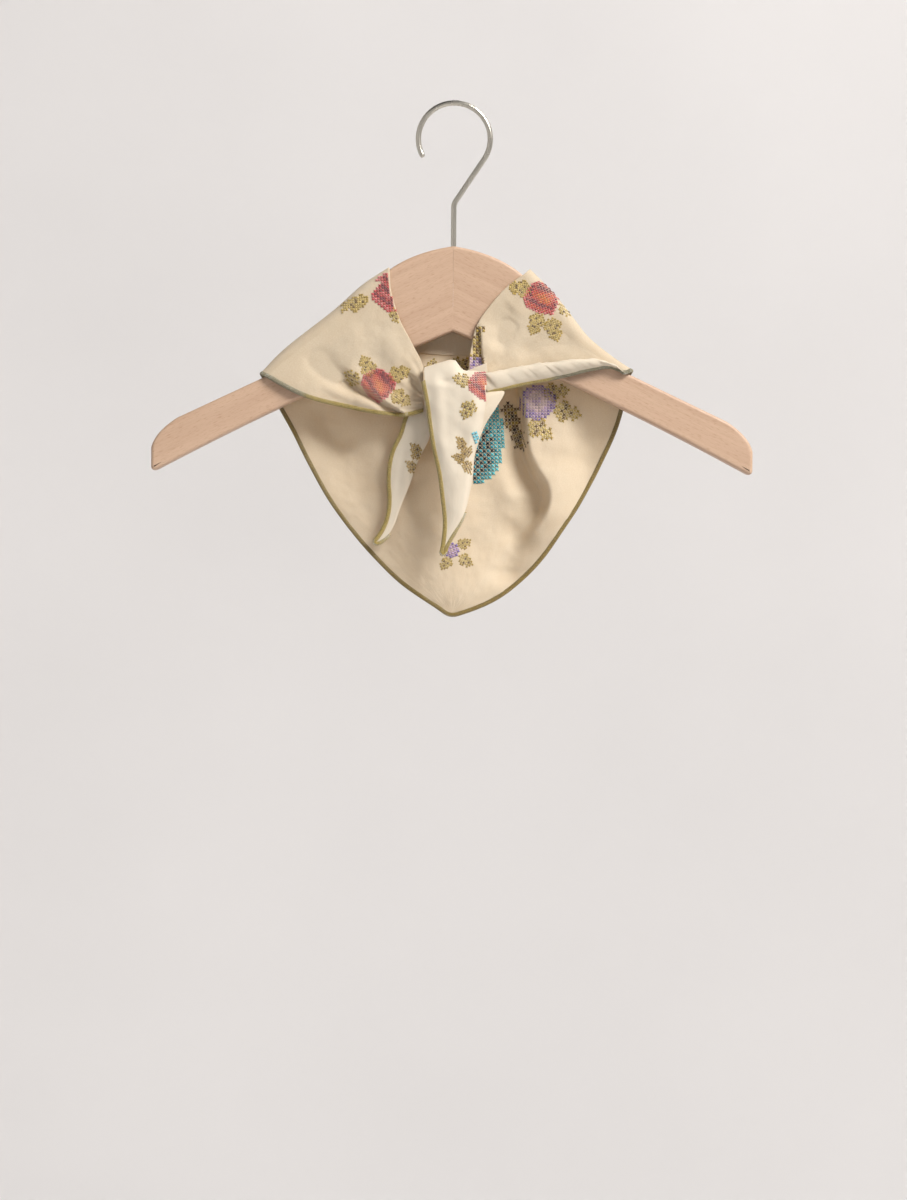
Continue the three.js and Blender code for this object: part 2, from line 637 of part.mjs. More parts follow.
export default part;
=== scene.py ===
"""A cross-stitched voile neckerchief, tied in a half knot round a beech clothes hanger, on its CAD frame.

Metres, +Z up, the viewer on the -Y side. Tables below are in millimetres, as the object is measured.
"""

import json
import math

import bmesh
import bpy
import numpy as np
from mathutils import Matrix, Vector, noise
from mathutils.bvhtree import BVHTree

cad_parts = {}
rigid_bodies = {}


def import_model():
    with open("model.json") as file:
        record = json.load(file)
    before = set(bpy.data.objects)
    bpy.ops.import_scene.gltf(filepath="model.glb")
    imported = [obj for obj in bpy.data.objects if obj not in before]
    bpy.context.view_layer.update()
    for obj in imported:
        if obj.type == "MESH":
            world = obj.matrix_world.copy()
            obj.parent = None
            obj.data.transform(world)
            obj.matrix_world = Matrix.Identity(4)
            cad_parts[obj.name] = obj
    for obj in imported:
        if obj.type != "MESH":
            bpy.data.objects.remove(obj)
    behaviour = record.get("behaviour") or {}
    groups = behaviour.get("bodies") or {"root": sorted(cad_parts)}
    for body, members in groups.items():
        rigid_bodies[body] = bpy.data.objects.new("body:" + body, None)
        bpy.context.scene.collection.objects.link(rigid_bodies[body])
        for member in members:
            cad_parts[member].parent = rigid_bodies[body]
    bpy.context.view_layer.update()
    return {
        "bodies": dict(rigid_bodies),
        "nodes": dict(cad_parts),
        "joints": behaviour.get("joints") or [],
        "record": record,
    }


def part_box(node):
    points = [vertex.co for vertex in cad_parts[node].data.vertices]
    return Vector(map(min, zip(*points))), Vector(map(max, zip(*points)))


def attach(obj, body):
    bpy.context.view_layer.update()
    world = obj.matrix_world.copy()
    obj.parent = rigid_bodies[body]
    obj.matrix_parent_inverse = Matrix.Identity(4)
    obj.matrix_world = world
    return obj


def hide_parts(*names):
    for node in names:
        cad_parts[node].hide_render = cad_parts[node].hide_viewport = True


bl_info = {
    "name": "Cross-stitched neckerchief on a hanger",
    "version": (1, 0, 0),
    "blender": (4, 5, 0),
    "location": "View3D > Sidebar > Neckerchief",
    "description": "Dresses the neckerchief and its hanger with cloth, stitches, hem, wood and wire",
    "category": "Object",
}

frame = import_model()
MM = 0.001

# Hanger, as the CAD model has it
ARM_HIGH = np.array(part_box("hanger_arm_right")[1]) / MM
HALF_SPAN = ARM_HIGH[0]
BOARD_HALF = ARM_HIGH[1]
CROWN_TOP = ARM_HIGH[2]
CROWN_DEPTH = 42.5
CROWN_REACH = 34.0
CROWN_FALL = 13.6
ARM_DEPTH = 19.0
ARM_ANGLE = 25.4
ARM_BOW = 2.2
ARM_END_RADIUS = 13.0
ARM_CORNER = 1.6
NECK_REACH = 80.0
BOARD_EDGE = 1.5
MITRE_GAP = 0.05
NOTCH = CROWN_TOP - CROWN_DEPTH
ARM_SLOPE = math.tan(math.radians(ARM_ANGLE))

# Hook
WIRE_RADIUS = 1.375
HOOK_INSIDE = 16.6
HOOK_SLANT = math.radians(33.6)
HOOK_END = math.radians(207)
SHANK_IN_WOOD = 18.0
SHANK_BEND = 6.0
TIP_TURNS = (0.3, 1.45)  # from where to where the wire's end is domed, in radians

# Cloth
CLOTH_PLANE = BOARD_HALF + 0.9
HEM_PLANE = BOARD_HALF + 1.55
VOILE = 0.35
BRIDGE_HEIGHT = 9.0
PANEL_LENGTH = 122.3
NECK_SAG = 16.0
KNOT_DEPTH = 14.5
KNOT_WIDTH = 33.0
KNOT_HEIGHT = 26.0
KNOT_TOP = NOTCH - 14.5
FRONT_TAIL_LENGTH = 97.0
SIDE_TAIL_LENGTH = 81.0
TURNED_IN = 0.45  # of the shoulder's length, folded in along the neck
TURN_GAP = 0.6  # between the cloth and the part of it that is turned in
PULL_HEIGHT = 0.3  # of the fine folds that the knot pulls into the flaps
PULLS = [(1.0, 21, 1.5), (0.6, 47, 1.0)]  # their share of that height, closeness and shift
PANEL_FREE = (1, 14)  # how far below the wood the panel's folds set in
FLAP_FREE = (0.0, 0.18)  # how far towards the knot the flaps' folds set in
FADE_SHARE, FADE_LENGTH = 0.3, 5  # of a fold's line at its ends, and beyond them
# Unevenness of each part: height and size of its waves
PANEL_RUMPLE, FLAP_RUMPLE, BAND_RUMPLE, STRAND_RUMPLE = (0.9, 17), (0.45, 13), (0.3, 14), (0.35, 10)
SHOULDER_CLEARANCE = 1.26  # from the wood's upper edge to the cloth's middle surface
SHOULDER_FULLNESS = 2.6  # added to the fold's roundness where it stands clear of the wood
SAG_RUN = (7, 15, 23)  # parts of the neck edge's sag along the shoulder and along the side, out of how many
KEYS_PER_MM = 500  # points of two grids meet when they agree this finely

FOLD_STEPS, ROUND_STEPS, SIDE_STEPS, PANEL_STEPS, FLAP_STEPS = 60, 14, 100, 150, 110
STRAND_STEPS, STRAND_ACROSS = 110, 22

LEFT_SHOULDER = [(0.216, 0.0), (0.3, 0.55), (0.392, 0.98), (0.568, 0.85), (0.632, 0.22)]
RIGHT_SHOULDER = [(0.257, 0.62), (0.335, 0.84), (0.404, 0.72), (0.45, 0.52), (0.53, 0.4), (0.591, 0.2)]

# Back panel's sides: down, left, right, in shares of its length and of each shoulder's reach
PANEL_SIDES = [
    (0.153, 0.915, 0.965),
    (0.245, 0.846, 0.925),
    (0.365, 0.766, 0.85),
    (0.527, 0.645, 0.732),
    (0.659, 0.516, 0.612),
    (0.76, 0.398, 0.512),
    (0.859, 0.262, 0.378),
    (0.925, 0.138, 0.25),
    (0.962, 0.062, 0.14),
    (0.983, 0.024, 0.056),
    (0.995, 0.001, 0.008),
]

# Which way the cloth runs down from the neck corners, on the left and the right
NECK_FALL = {-1: np.array((0.12, 0, -0.99)), 1: np.array((-0.72, 0, -0.69))}
# The same elsewhere, as (towards the middle, down): behind at the neck and the hem, in front at the hem
BACK_NECK_FALL, BACK_HEM_FALL, FRONT_HEM_FALL = (0.35, -0.94), (0.5, -0.86), (0.9, -0.44)

# Flap edges: share of the way to the knot, and bow in shares of the flap's drop
LEFT_NECK_EDGE = [(0.04, 0.11), (0.18, 0.133), (0.34, 0.107), (0.69, -0.037), (0.95, -0.13)]
LEFT_HEM = [(0.14, 0.064), (0.28, 0.104), (0.53, 0.11), (0.7, 0.105), (0.88, 0.073)]
RIGHT_NECK_EDGE = [(0.16, -0.1), (0.35, -0.2), (0.64, -0.3), (0.86, -0.32), (0.96, -0.17)]
RIGHT_HEM = [(0.1, -0.075), (0.26, -0.08), (0.42, -0.06), (0.57, -0.045), (0.77, -0.033)]
LEFT_ENTRY = ((0.88, 0.48), (0.9, 0.95))
RIGHT_ENTRY = ((0.5, 0.22), (1.06, 0.62))

# How far the flaps lift off the hanger: way to the knot, neck, middle and hem, in shares of the knot's depth
LEFT_LIFT = [(0, 0, 0, 0.05), (0.4, 0.03, 0.1, 0.14), (0.75, 0.2, 0.28, 0.3), (1, 0.46, 0.52, 0.46)]
RIGHT_LIFT = [(0, 0, 0, 0.05), (0.4, 0.03, 0.06, 0.14), (0.75, 0.14, 0.14, 0.3), (1, 0.3, 0.3, 0.46)]

# The rolled band over the right flap's hem: way to the knot, width up from the hem, how far it stands out
BAND = [
    (0, 3.0, 1.8),
    (0.1, 5.4, 3.0),
    (0.26, 8.4, 4.6),
    (0.42, 10.4, 5.4),
    (0.57, 11.0, 5.6),
    (0.77, 10.4, 5.2),
    (1, 10.2, 4.6),
]

BAND_FOOT = 0.7  # how far the band stands out at the hem
BAND_OFF = 0.45  # from the flap to the band
BAND_RETURN = 1.5  # how far the band's edge comes back behind its roll

# Strands: two edges as x in half knot widths and z in shares of the strand's length, then out
CROSSING = [
    (-0.95, 0.45, -0.8, 0.98, 0.5),
    (-0.35, 0.42, -0.2, 0.96, 0.66),
    (0.3, 0.42, 0.45, 0.92, 0.62),
    (0.68, 0.44, 0.74, 0.9, 0.3),
    (0.4, 0.4, 0.42, 0.88, 0.02),
    (-0.2, 0.3, -0.1, 0.78, -0.06),
]
FRONT_TAIL = [
    (-0.56, 0.155, 0.9, 0.17, -0.02),
    (-0.72, 0.06, 0.97, 0.1, 0.22),
    (-0.84, 0.045, 1.0, 0.064, 0.6),
    (-0.82, 0.113, 1.0, 0.13, 0.92),
    (-0.763, 0.165, 1.0, 0.18, 0.92),
    (-0.669, 0.247, 0.985, 0.25, 0.9),
    (-0.61, 0.325, 0.92, 0.325, 0.86),
    (-0.487, 0.454, 0.7, 0.454, 0.78),
    (-0.302, 0.592, 0.61, 0.592, 0.68),
    (-0.215, 0.706, 0.5, 0.7, 0.6),
    (-0.139, 0.814, 0.36, 0.8, 0.53),
    (-0.148, 0.897, 0.03, 0.895, 0.48),
    (-0.2, 0.964, -0.17, 0.955, 0.46),
    (-0.25, 1.0, -0.24, 0.998, 0.45),
]
SIDE_TAIL = [
    (1.02, 0.02, 1.1, 0.17, 0.38),
    (0.1, 0.1, 0.2, 0.3, 0.26),
    (-0.65, 0.2, -0.35, 0.4, 0.24),
    (-1.25, 0.32, -0.66, 0.46, 0.2),
    (-1.5, 0.47, -0.72, 0.5, 0.12),
    (-1.71, 0.556, -0.915, 0.574, 0.02),
    (-1.82, 0.648, -1.12, 0.67, -0.08),
    (-1.85, 0.745, -1.288, 0.776, -0.18),
    (-1.82, 0.84, -1.46, 0.86, -0.26),
    (-1.84, 0.932, -1.6, 0.94, -0.3),
    (-1.95, 1.016, -1.74, 1.02, -0.34),
    (-2.13, 1.085, -1.95, 1.085, -0.37),
    (-2.31, 1.128, -2.27, 1.127, -0.4),
]

# The front tail's rear layer, in the same shares
FRONT_TAIL_UNDER = [
    (-0.4, 0.2, 0.6, 0.2, 0.1),
    (-0.5, 0.2, 1.1, 0.17, 0.5),
    (-0.5, 0.22, 1.56, 0.165, 0.72),
    (-0.5, 0.26, 1.36, 0.235, 0.78),
    (-0.55, 0.3, 1.106, 0.302, 0.8),
    (-0.5, 0.36, 0.95, 0.353, 0.8),
    (-0.45, 0.49, 0.69, 0.493, 0.75),
    (-0.3, 0.592, 0.64, 0.592, 0.68),
    (-0.2, 0.706, 0.53, 0.7, 0.6),
    (-0.139, 0.814, 0.37, 0.79, 0.53),
    (-0.148, 0.89, 0.02, 0.89, 0.48),
    (-0.19, 0.95, -0.17, 0.945, 0.46),
]
# How far the front tail's top rises between its edges: share across, mm up
FRONT_TAIL_CREST = [(0, 0), (0.2, 2.2), (0.42, 4.6), (0.5, 4.4), (0.6, 0.6), (0.66, -0.4), (0.8, 0), (1, 0)]
CREST_HEIGHTS = (-146, -133)  # between which that rise sets in
FOLDED_BELOW = (132, 140)  # how far down the tail's own folds set in
BODY_WIDTHS = (2, 14)  # how wide a strand is when it starts to bulge, and when it bulges in full

# Parts of the one cloth, and whether their grids run the other way round
TURNED = {
    "panel": False,
    "left_shoulder": True,
    "right_shoulder": False,
    "left_flap": False,
    "right_flap": True,
}

# How double the cloth looks in each part, whitening its colour: partly real double layers, partly painted
# light that brightens the band and the tails; the shoulders go from the panel's share to the flaps'
PANEL_DOUBLE_AND_PAINTED_LIGHT, FLAP_DOUBLE_AND_PAINTED_LIGHT = 0.3, 0.14
LAID_DOUBLE_AND_PAINTED_LIGHT = {
    "band": 0.9,
    "crossing": 0.5,
    "front_tail": 1.0,
    "front_tail_under": 0.7,
    "side_tail": 0.9,
    "side_tail_under": 0.5,
}

HEM_GOLD, HEM_OLIVE, HEM_SAGE = "#B5A058", "#96803F", "#9A9478"
FRONT_HEM_FROM, SIDE_HEM_FROM = 26, 28
FRONT_TIP_FROM, SIDE_TIP_FROM = 82, 98
HEM_SEAT = 0.8  # how far the hem's middle lies out from the cloth's edge, in hem radii
TIP_WIDTH = 0.66  # of a tail's hem at its end, past the tip
WRAP_REACH = 0.92
CORE_ACROSS, CORE_THROUGH, CORE_SIDES = 0.86, 0.56, 10
# Darkens the hem's core as painted shade, where it lies deep between the turns.
CORE_PAINTED_SHADE = (0.6, 0.6, 0.6, 1)
WRAP_HEIGHT, WRAP_SLANT = 0.66, 0.3
WRAP_THREAD = (0.13, 0.25)  # half a turn of thread's height and its half width
LEAST_STEP = 0.05  # between two edge points of a hem
SMOOTHING = 5  # points over which a hem's run is evened out

# A cross stitch one unit wide: reach of its arms, half width and height of its threads, rise of each
CROSS_REACH = 1.16
THREAD_ACROSS, THREAD_THROUGH = 0.19, 0.1
CROSS_FOOT, CROSS_LIFT = 0.02, 0.1

# Stitches: from where they are looked for, when a surface is too much edge-on, and how uneven they are
LOOK_FROM = -80
EDGE_ON = -0.15
LEAST_REACH = 0.6
OVERLAP = 1.04
SHADE_SPREAD, TURN_SPREAD = 0.1, 3
WRONG_SIDE_SHADE, WRONG_SIDE_HEIGHT = 0.95, 0.8

# Grain of the wood and unevenness of other surfaces: size along the grain, through it and across it
WOOD_BANDS, WOOD_STREAKS, WOOD_FLECKS = (70, 4, 2.6), (26, 1.2, 0.7), (3.4, 0.4, 0.3)
DRAWN_WIRE, THREAD_FUZZ, PLASTER_MOTTLE = (4, 4, 20), (0.5, 0.5, 0.5), (600, 600, 600)

# Stage, in metres: a flat floor, a cove and a wall; lamps with their place, aim, size and power setting
FLOOR_INNER, FLOOR_FLAT, COVE_RADIUS, WALL_TOP = 1.2, 2.4, 1.6, 5.5
FLOOR_STEPS, COVE_STEPS = 96, 12
THING_AIM, WALL_AIM = (0, 0, -0.17), (0.6, 4.0, -0.2)
LAMPS = [
    ("key_lamp", (1.7, -1.6, 1.7), THING_AIM, 1.2, "key_power"),
    ("fill_lamp", (-1.9, -1.8, 0.4), THING_AIM, 2.0, "fill_power"),
    ("wall_lamp", (1.4, 1.6, 2.3), WALL_AIM, 2.0, "wall_power"),
]
CAMERA_ROLL = math.radians(-0.45)
CAMERA_LENS, CAMERA_SENSOR = 120, 36
CAMERA_AWAY, CAMERA_HEIGHT = 2.0, -0.24713
ROLL_HEIGHT = -0.1765  # of the point that stays in place when the camera is rolled

# Folds that stand up: a line seen from the front, its height towards the viewer, its width,
# and whether it fades at each end
PANEL_RIDGES = [
    dict(line=[(71, -150), (68, -189), (60, -207)], rise=-3.0, width=8, fade=(1, 1)),
    dict(line=[(-22, -146), (-16, -190), (-4, -226)], rise=7.0, width=30, fade=(0, 1)),
    dict(line=[(-10, -206), (-6, -222), (0, -240)], rise=3.6, width=14, fade=(1, 0)),
    dict(line=[(36, -206), (30, -221), (27, -233), (24, -243)], rise=-4.2, width=8, fade=(1, 1)),
    dict(line=[(8, -186), (22, -204), (44, -214)], rise=-2.4, width=10, fade=(1, 1)),
    dict(line=[(-66, -150), (-60, -164), (-50, -176)], rise=-4.0, width=7, fade=(0, 1)),
    dict(line=[(-78, -160), (-62, -190), (-40, -220)], rise=1.8, width=9, fade=(1, 1)),
    dict(line=[(-44, -150), (-36, -186), (-32, -212)], rise=1.6, width=8, fade=(1, 1)),
    dict(line=[(-20, -180), (-14, -212)], rise=-2.6, width=9, fade=(1, 1)),
    dict(line=[(56, -150), (55, -176)], rise=1.8, width=8, fade=(0, 1)),
]
S_FOLD = [(33, -136), (36, -157), (37.5, -172), (41, -181), (46.5, -190), (47, -199), (41, -210), (31, -221)]
# Folds with a lip: the cloth on the line's left hand stands forward, and the other side falls back
PANEL_LIPS = [
    dict(
        line=S_FOLD,
        rise=(6.0, 6.0), drop=6.4, edge=(1.0, 3.4), reach=26, back=19, fade=(0, 1),
    ),
]
LEFT_FLAP_RIDGES = [
    dict(line=[(-76, -120), (-64, -132), (-52, -142)], rise=-2.6, width=6, fade=(1, 0)),
    dict(line=[(-68, -139), (-48, -148), (-26, -153)], rise=1.8, width=2.6, fade=(1, 1)),
    dict(line=[(-21, -137), (-17, -147)], rise=-1.8, width=3.4, fade=(1, 1)),
    dict(line=[(-36, -112), (-24, -134)], rise=1.2, width=6, fade=(1, 1)),
]
LEFT_FLAP_LIPS = [
    dict(
        line=[(-58, -131), (-51, -137), (-46, -141.5), (-39, -146), (-32, -150.5), (-27, -153)],
        rise=(2.2, 2.6), drop=3.4, edge=(4.0, 0.6), reach=11, back=5, fade=(1, 0),
    ),
    dict(
        line=[(-24, -133), (-18.5, -137), (-15, -142), (-14, -149)],
        rise=(1.2, 1.6), drop=1.8, edge=(1.0, 0.6), reach=5, back=6, fade=(1, 0),
    ),
]
RIGHT_FLAP_RIDGES = [
    dict(line=[(31, -106), (25, -115), (20, -123)], rise=-1.8, width=5, fade=(1, 1)),
    dict(line=[(38, -93), (28, -104)], rise=1.2, width=5, fade=(1, 1)),
    dict(line=[(66, -112), (48, -119), (28, -125)], rise=-1.4, width=4, fade=(1, 1)),
]
RIGHT_FLAP_LIPS = [
    dict(
        line=[(13.2, -108), (14.2, -120), (15.4, -133)],
        rise=(1.6, 1.6), drop=0.5, edge=(0.5, 0.5), reach=12, back=8, fade=(1, 0),
    ),
]
FRONT_TAIL_RIDGES = [
    dict(line=[(-3.5, -130), (-3.8, -142)], rise=-2.0, width=3.4, fade=(0, 1)),
    dict(line=[(-8.5, -131), (-6.5, -155), (-2.5, -188)], rise=0.9, width=3.0, fade=(1, 1)),
    dict(line=[(5, -158), (3, -185)], rise=-1.0, width=4, fade=(1, 1)),
    dict(line=[(9, -140), (12, -158)], rise=0.9, width=4, fade=(1, 1)),
]
SIDE_TAIL_RIDGES = [
    dict(line=[(-19, -166), (-25, -190)], rise=0.8, width=3.5, fade=(1, 1)),
    dict(line=[(-22, -166), (-28, -200)], rise=-0.7, width=2.2, fade=(1, 1)),
]

# Charts: one letter for each stitch
ROSE = (
    ".....prrp......",
    "...prmrrmrpp...",
    "..prmrrmmrmrr..",
    ".prmrcrrmmrmmr.",
    "prrmcccrrmmmrrp",
    "rmrrccoccrmmrmr",
    "prmmrcoooccrmrp",
    "rcrmmrcoocrcrmr",
    "prcrmrocooccrr.",
    ".prcrmmcoocrmp.",
    "..prcrmmccrrr..",
    "...prcrrmrrmp..",
    "....prcrrmrp...",
    "......prrrp....",
    "........rp.....",
)
HALF_ROSE = (
    ".....prrp.",
    "...prmrrp.",
    "..pprrmp..",
    "....prrmr.",
    "...rmrrmrr",
    "..prmmrrmr",
    ".rrmrmmrrp",
    "rmrrprmmrr",
    "prmrrprmmr",
    "rprmmrprmr",
    ".rprmrrmrr",
    "..rprmmrmr",
    "...rprrmrp",
    "....rprrmr",
    ".....rrprr",
)
LEAF = (
    "...gg.......",
    "..gyyg.gg...",
    ".gyykyygyg..",
    "gyyyykyyyyg.",
    ".gyyyyykyyyg",
    "gyykyyykyyg.",
    ".gyyyyyyyg..",
    "..gyykg.g...",
    "...gg.......",
)
SMALL_LEAF = (
    "..gg....",
    ".gyyyg..",
    "gyykyyg.",
    ".yyyykyg",
    ".gykyyg.",
    "..gg.g..",
)
BACK_LEAF = (
    "..gg.....",
    ".yykg.g..",
    "gyykyyyg.",
    "yykyykyyg",
    "gyykyyyg.",
    ".yykg.g..",
    "..gg.....",
)
DARK_LEAF = (
    "..k...k..",
    ".kgkkgkk.",
    "kgkdgkgkd",
    "dkgkdkgk.",
    ".kgkkgk..",
    "..kk..k..",
)
LONG_LEAF = (
    "........gg..",
    ".....ggyyygg",
    "...gyykyyyyg",
    ".gyyyykyykyg",
    "gyyykyyyyyg.",
    ".yyyykyyyg..",
    "gyg.gyyg....",
    "g....gg.....",
)
TWIG_LEAF = (
    ".hh....",
    "hhhhh..",
    "hkhhhhh",
    "hhhkhh.",
    ".hhhh..",
)
STRIP = (
    "..gkgk",
    ".gkgkg",
    "gkgkg.",
    "kgkgk.",
    "gkygk.",
    "ykgky.",
    "kgkgk.",
    "gkgkg.",
    "gkykg.",
    "kgkgk.",
    "vlkvlk",
    "lwvlvk",
    "wlvwlv",
    "vlwvlk",
    "kvlvk.",
)
BELL = (
    "......tt.",
    ".....ttt.",
    ".....ttt.",
    "....tbtt.",
    "....btbtt",
    "...ntbttt",
    "...btbtbt",
    "..nbnbtbt",
    "..bnbtbtt",
    ".nbnbnbtt",
    ".bnbnbtbt",
    "nbnbnbttt",
    "bnbnbnbt.",
    "nbnbntbt.",
    "bnbnbbtt.",
    "nbnbnbtt.",
    "bnbnbtt..",
    "nbnbbtt..",
    "bnbbtt...",
    "nbbtt....",
    "bbt......",
)
VIOLA = (
    "....vllv....",
    "..vlllllvv..",
    ".vllwwwllvl.",
    ".vlwwwwwllvv",
    "vllwwwlwwllv",
    "vlwwlllwwllv",
    "vvlwwlwwwlvl",
    "vllwwwwwllvv",
    ".vvllwwllvl.",
    ".vlvvllvlv..",
    "..vvlvvlv...",
    "....vvv.....",
)
SMALL_VIOLA = (
    ".vlv.",
    "vlllv",
    "llwll",
    "vlllv",
    ".vlv.",
)
SPECK = ("ss", "ss", "ss", "s.")
THREADS = {
    "m": "#8E2B50", "r": "#DB5560", "c": "#F06E56", "o": "#FA935C", "p": "#F08E94",
    "g": "#C8AC52", "y": "#E6CE80", "k": "#83683C", "h": "#C8A85C", "d": "#3B3222",
    "n": "#14242E", "b": "#2AA0B2", "t": "#63CFDA", "s": "#7FE0F5",
    "v": "#9480C8", "l": "#D0B3DF", "w": "#F5DCE6",
}
SLOTS = {"rose_thread": "mrcop", "leaf_thread": "gykhd", "blue_thread": "nbtsvlw"}

# Where motifs are worked: surface, chart, centre (x, z) seen from the front, turn and pitch
MOTIFS = [
    ("left_flap", HALF_ROSE, (-34.2, -94.4), 6, 1.32),
    ("left_flap", LONG_LEAF, (-49.0, -99.8), 4, 1.16),
    ("left_flap", SMALL_LEAF, (-28.4, -105.6), -64, 1.05),
    ("left_flap", ROSE, (-36.9, -140.9), -12, 1.14),
    ("left_flap", SMALL_LEAF, (-50.1, -137.0), 150, 1.2),
    ("left_flap", LEAF, (-42.6, -130.8), 118, 0.98),
    ("left_flap", LEAF, (-26.2, -134.6), 22, 0.98),
    ("left_flap", LEAF, (-25.4, -147.2), -34, 0.98),
    ("right_flap", ROSE, (44.5, -96.8), 20, 1.22),
    ("right_flap", LEAF, (32.9, -91.6), 172, 1.02),
    ("right_flap", SMALL_LEAF, (56.4, -101.8), -28, 1.16),
    ("right_flap", LEAF, (41.3, -109.4), -114, 1.02),
    ("right_flap", LEAF, (50.4, -112.2), -72, 1.06),
    ("right_flap", STRIP, (11.4, -122.4), 0, 1.55),
    ("front_tail", ROSE, (16.6, -141.2), 6, 1.16),
    ("front_tail", SMALL_LEAF, (4.5, -138.4), 172, 1.2),
    ("front_tail", SMALL_LEAF, (8.0, -153.0), -108, 1.34),
    ("front_tail", TWIG_LEAF, (4.0, -169.1), 125, 1.06),
    ("front_tail", TWIG_LEAF, (7.6, -173.2), 52, 1.0),
    ("front_tail", TWIG_LEAF, (2.9, -176.9), 162, 1.0),
    ("front_tail", TWIG_LEAF, (8.2, -181.6), -66, 1.06),
    ("front_tail", SPECK, (11.8, -166.5), 20, 1.5),
    ("side_tail", TWIG_LEAF, (-18.4, -172.9), 122, 1.3),
    ("side_tail", TWIG_LEAF, (-20.6, -180.6), 134, 1.06),
    ("panel", BELL, (17.9, -168.4), 4, 1.9),
    ("panel", VIOLA, (42.8, -148.2), 0, 1.52),
    ("panel", BACK_LEAF, (52.4, -142.4), 10, 1.5),
    ("panel", BACK_LEAF, (58.0, -152.6), -12, 1.6),
    ("panel", BACK_LEAF, (44.6, -161.8), -36, 1.6),
    ("panel", DARK_LEAF, (29.4, -154.6), 96, 1.7),
    ("panel", DARK_LEAF, (34.0, -166.4), -72, 1.4),
    ("panel", SMALL_VIOLA, (0.2, -222.2), 20, 1.5),
    ("panel", SMALL_LEAF, (6.4, -218.6), 36, 1.0),
    ("panel", SMALL_LEAF, (7.4, -227.2), -24, 1.1),
    ("panel", SMALL_LEAF, (-2.4, -229.0), -120, 1.0),
    ("panel", BACK_LEAF, (4.4, -129.6), 160, 1.5),
    ("panel", SMALL_LEAF, (-10.6, -130.6), 80, 1.2),
    ("panel", ROSE, (-46.0, -112.0), 30, 1.25),
    ("panel", BACK_LEAF, (-58.0, -116.0), 170, 1.6),
    ("panel", BACK_LEAF, (-38.0, -122.0), -60, 1.6),
    ("panel", ROSE, (52.0, -112.0), -20, 1.25),
    ("panel", BACK_LEAF, (62.0, -120.0), -30, 1.6),
    ("panel", BACK_LEAF, (42.0, -122.0), -110, 1.6),
]


def linear(hex_colour):
    """An sRGB hex colour as linear RGBA."""
    channels = [int(hex_colour[i : i + 2], 16) / 255 for i in (1, 3, 5)]
    return tuple(c / 12.92 if c <= 0.04045 else ((c + 0.055) / 1.055) ** 2.4 for c in channels) + (1.0,)


def node(tree, kind, inputs=None, **settings):
    """Adds a node with its settings; each input takes a value or another node's output."""
    made = tree.nodes.new(kind)
    for key, value in settings.items():
        setattr(made, key, value)
    for key, value in (inputs or {}).items():
        if isinstance(value, bpy.types.NodeSocket):
            tree.links.new(value, made.inputs[key])
        else:
            made.inputs[key].default_value = value
    return made


def new_material(name):
    material = bpy.data.materials.new(name)
    material.use_nodes = True
    material.node_tree.nodes.clear()
    return material, material.node_tree


def colour_mix(tree, factor, first, second, blend="MIX"):
    inputs = {0: factor, 6: first, 7: second}
    return node(tree, "ShaderNodeMix", inputs, data_type="RGBA", blend_type=blend).outputs[2]


def shift(tree, value, low, high, to_low=0.0, to_high=1.0):
    """Maps a value from one range to another, held at both ends."""
    return node(tree, "ShaderNodeMapRange", {0: value, 1: low, 2: high, 3: to_low, 4: to_high}).outputs[0]


def place_in_mm(tree, turn=0.0, stretch=(1.0, 1.0, 1.0)):
    """Object coordinates in millimetres, turned about the viewing axis and stretched along the grain."""
    coordinates = node(tree, "ShaderNodeTexCoord").outputs["Object"]
    turned = node(tree, "ShaderNodeMapping", {0: coordinates, "Rotation": (0, turn, 0)}).outputs[0]
    scale = tuple(1 / (MM * share) for share in stretch)
    return node(tree, "ShaderNodeMapping", {0: turned, "Scale": scale}).outputs[0]


def noise_at(tree, place, detail=2.0):
    inputs = {"Vector": place, "Scale": 1.0, "Detail": detail}
    return node(tree, "ShaderNodeTexNoise", inputs).outputs[0]


def beech(name, side):
    """Steamed beech under thin matt lacquer: pale pinkish tan, faint growth bands and short brown flecks."""
    material, tree = new_material(name)
    turn = -side * math.radians(ARM_ANGLE)
    bands = noise_at(tree, place_in_mm(tree, turn, WOOD_BANDS), 3.0)
    streaks = noise_at(tree, place_in_mm(tree, turn, WOOD_STREAKS))
    flecks = noise_at(tree, place_in_mm(tree, turn, WOOD_FLECKS), 1.0)
    base = colour_mix(tree, shift(tree, bands, 0.36, 0.66), linear("#C8AA91"), linear("#BFA087"))
    base = colour_mix(tree, shift(tree, streaks, 0.52, 0.74, 0.0, 0.22), base, linear("#AC8765"))
    base = colour_mix(tree, shift(tree, flecks, 0.58, 0.68, 0.0, 0.42), base, linear("#9C7655"))
    bump = node(tree, "ShaderNodeBump", {"Strength": 0.12, "Distance": 0.0001, "Height": flecks}).outputs[0]
    shader = node(tree, "ShaderNodeBsdfPrincipled", {"Base Color": base, "Roughness": 0.5, "Normal": bump})
    shader.inputs["Coat Weight"].default_value = 0.12
    shader.inputs["Coat Roughness"].default_value = 0.35
    node(tree, "ShaderNodeOutputMaterial", {0: shader.outputs[0]})
    return material


def plated_wire():
    """Nickel-plated steel wire: warm grey metal, nearly smooth, with the faint streaks of drawing."""
    material, tree = new_material("nickel_plated_wire")
    dull = noise_at(tree, place_in_mm(tree, 0.0, DRAWN_WIRE), 1.0)
    inputs = {
        "Base Color": linear("#C9C5BA"),
        "Metallic": 1.0,
        "Roughness": shift(tree, dull, 0.35, 0.7, 0.24, 0.3),
    }
    shader = node(tree, "ShaderNodeBsdfPrincipled", inputs)
    node(tree, "ShaderNodeOutputMaterial", {0: shader.outputs[0]})
    return material


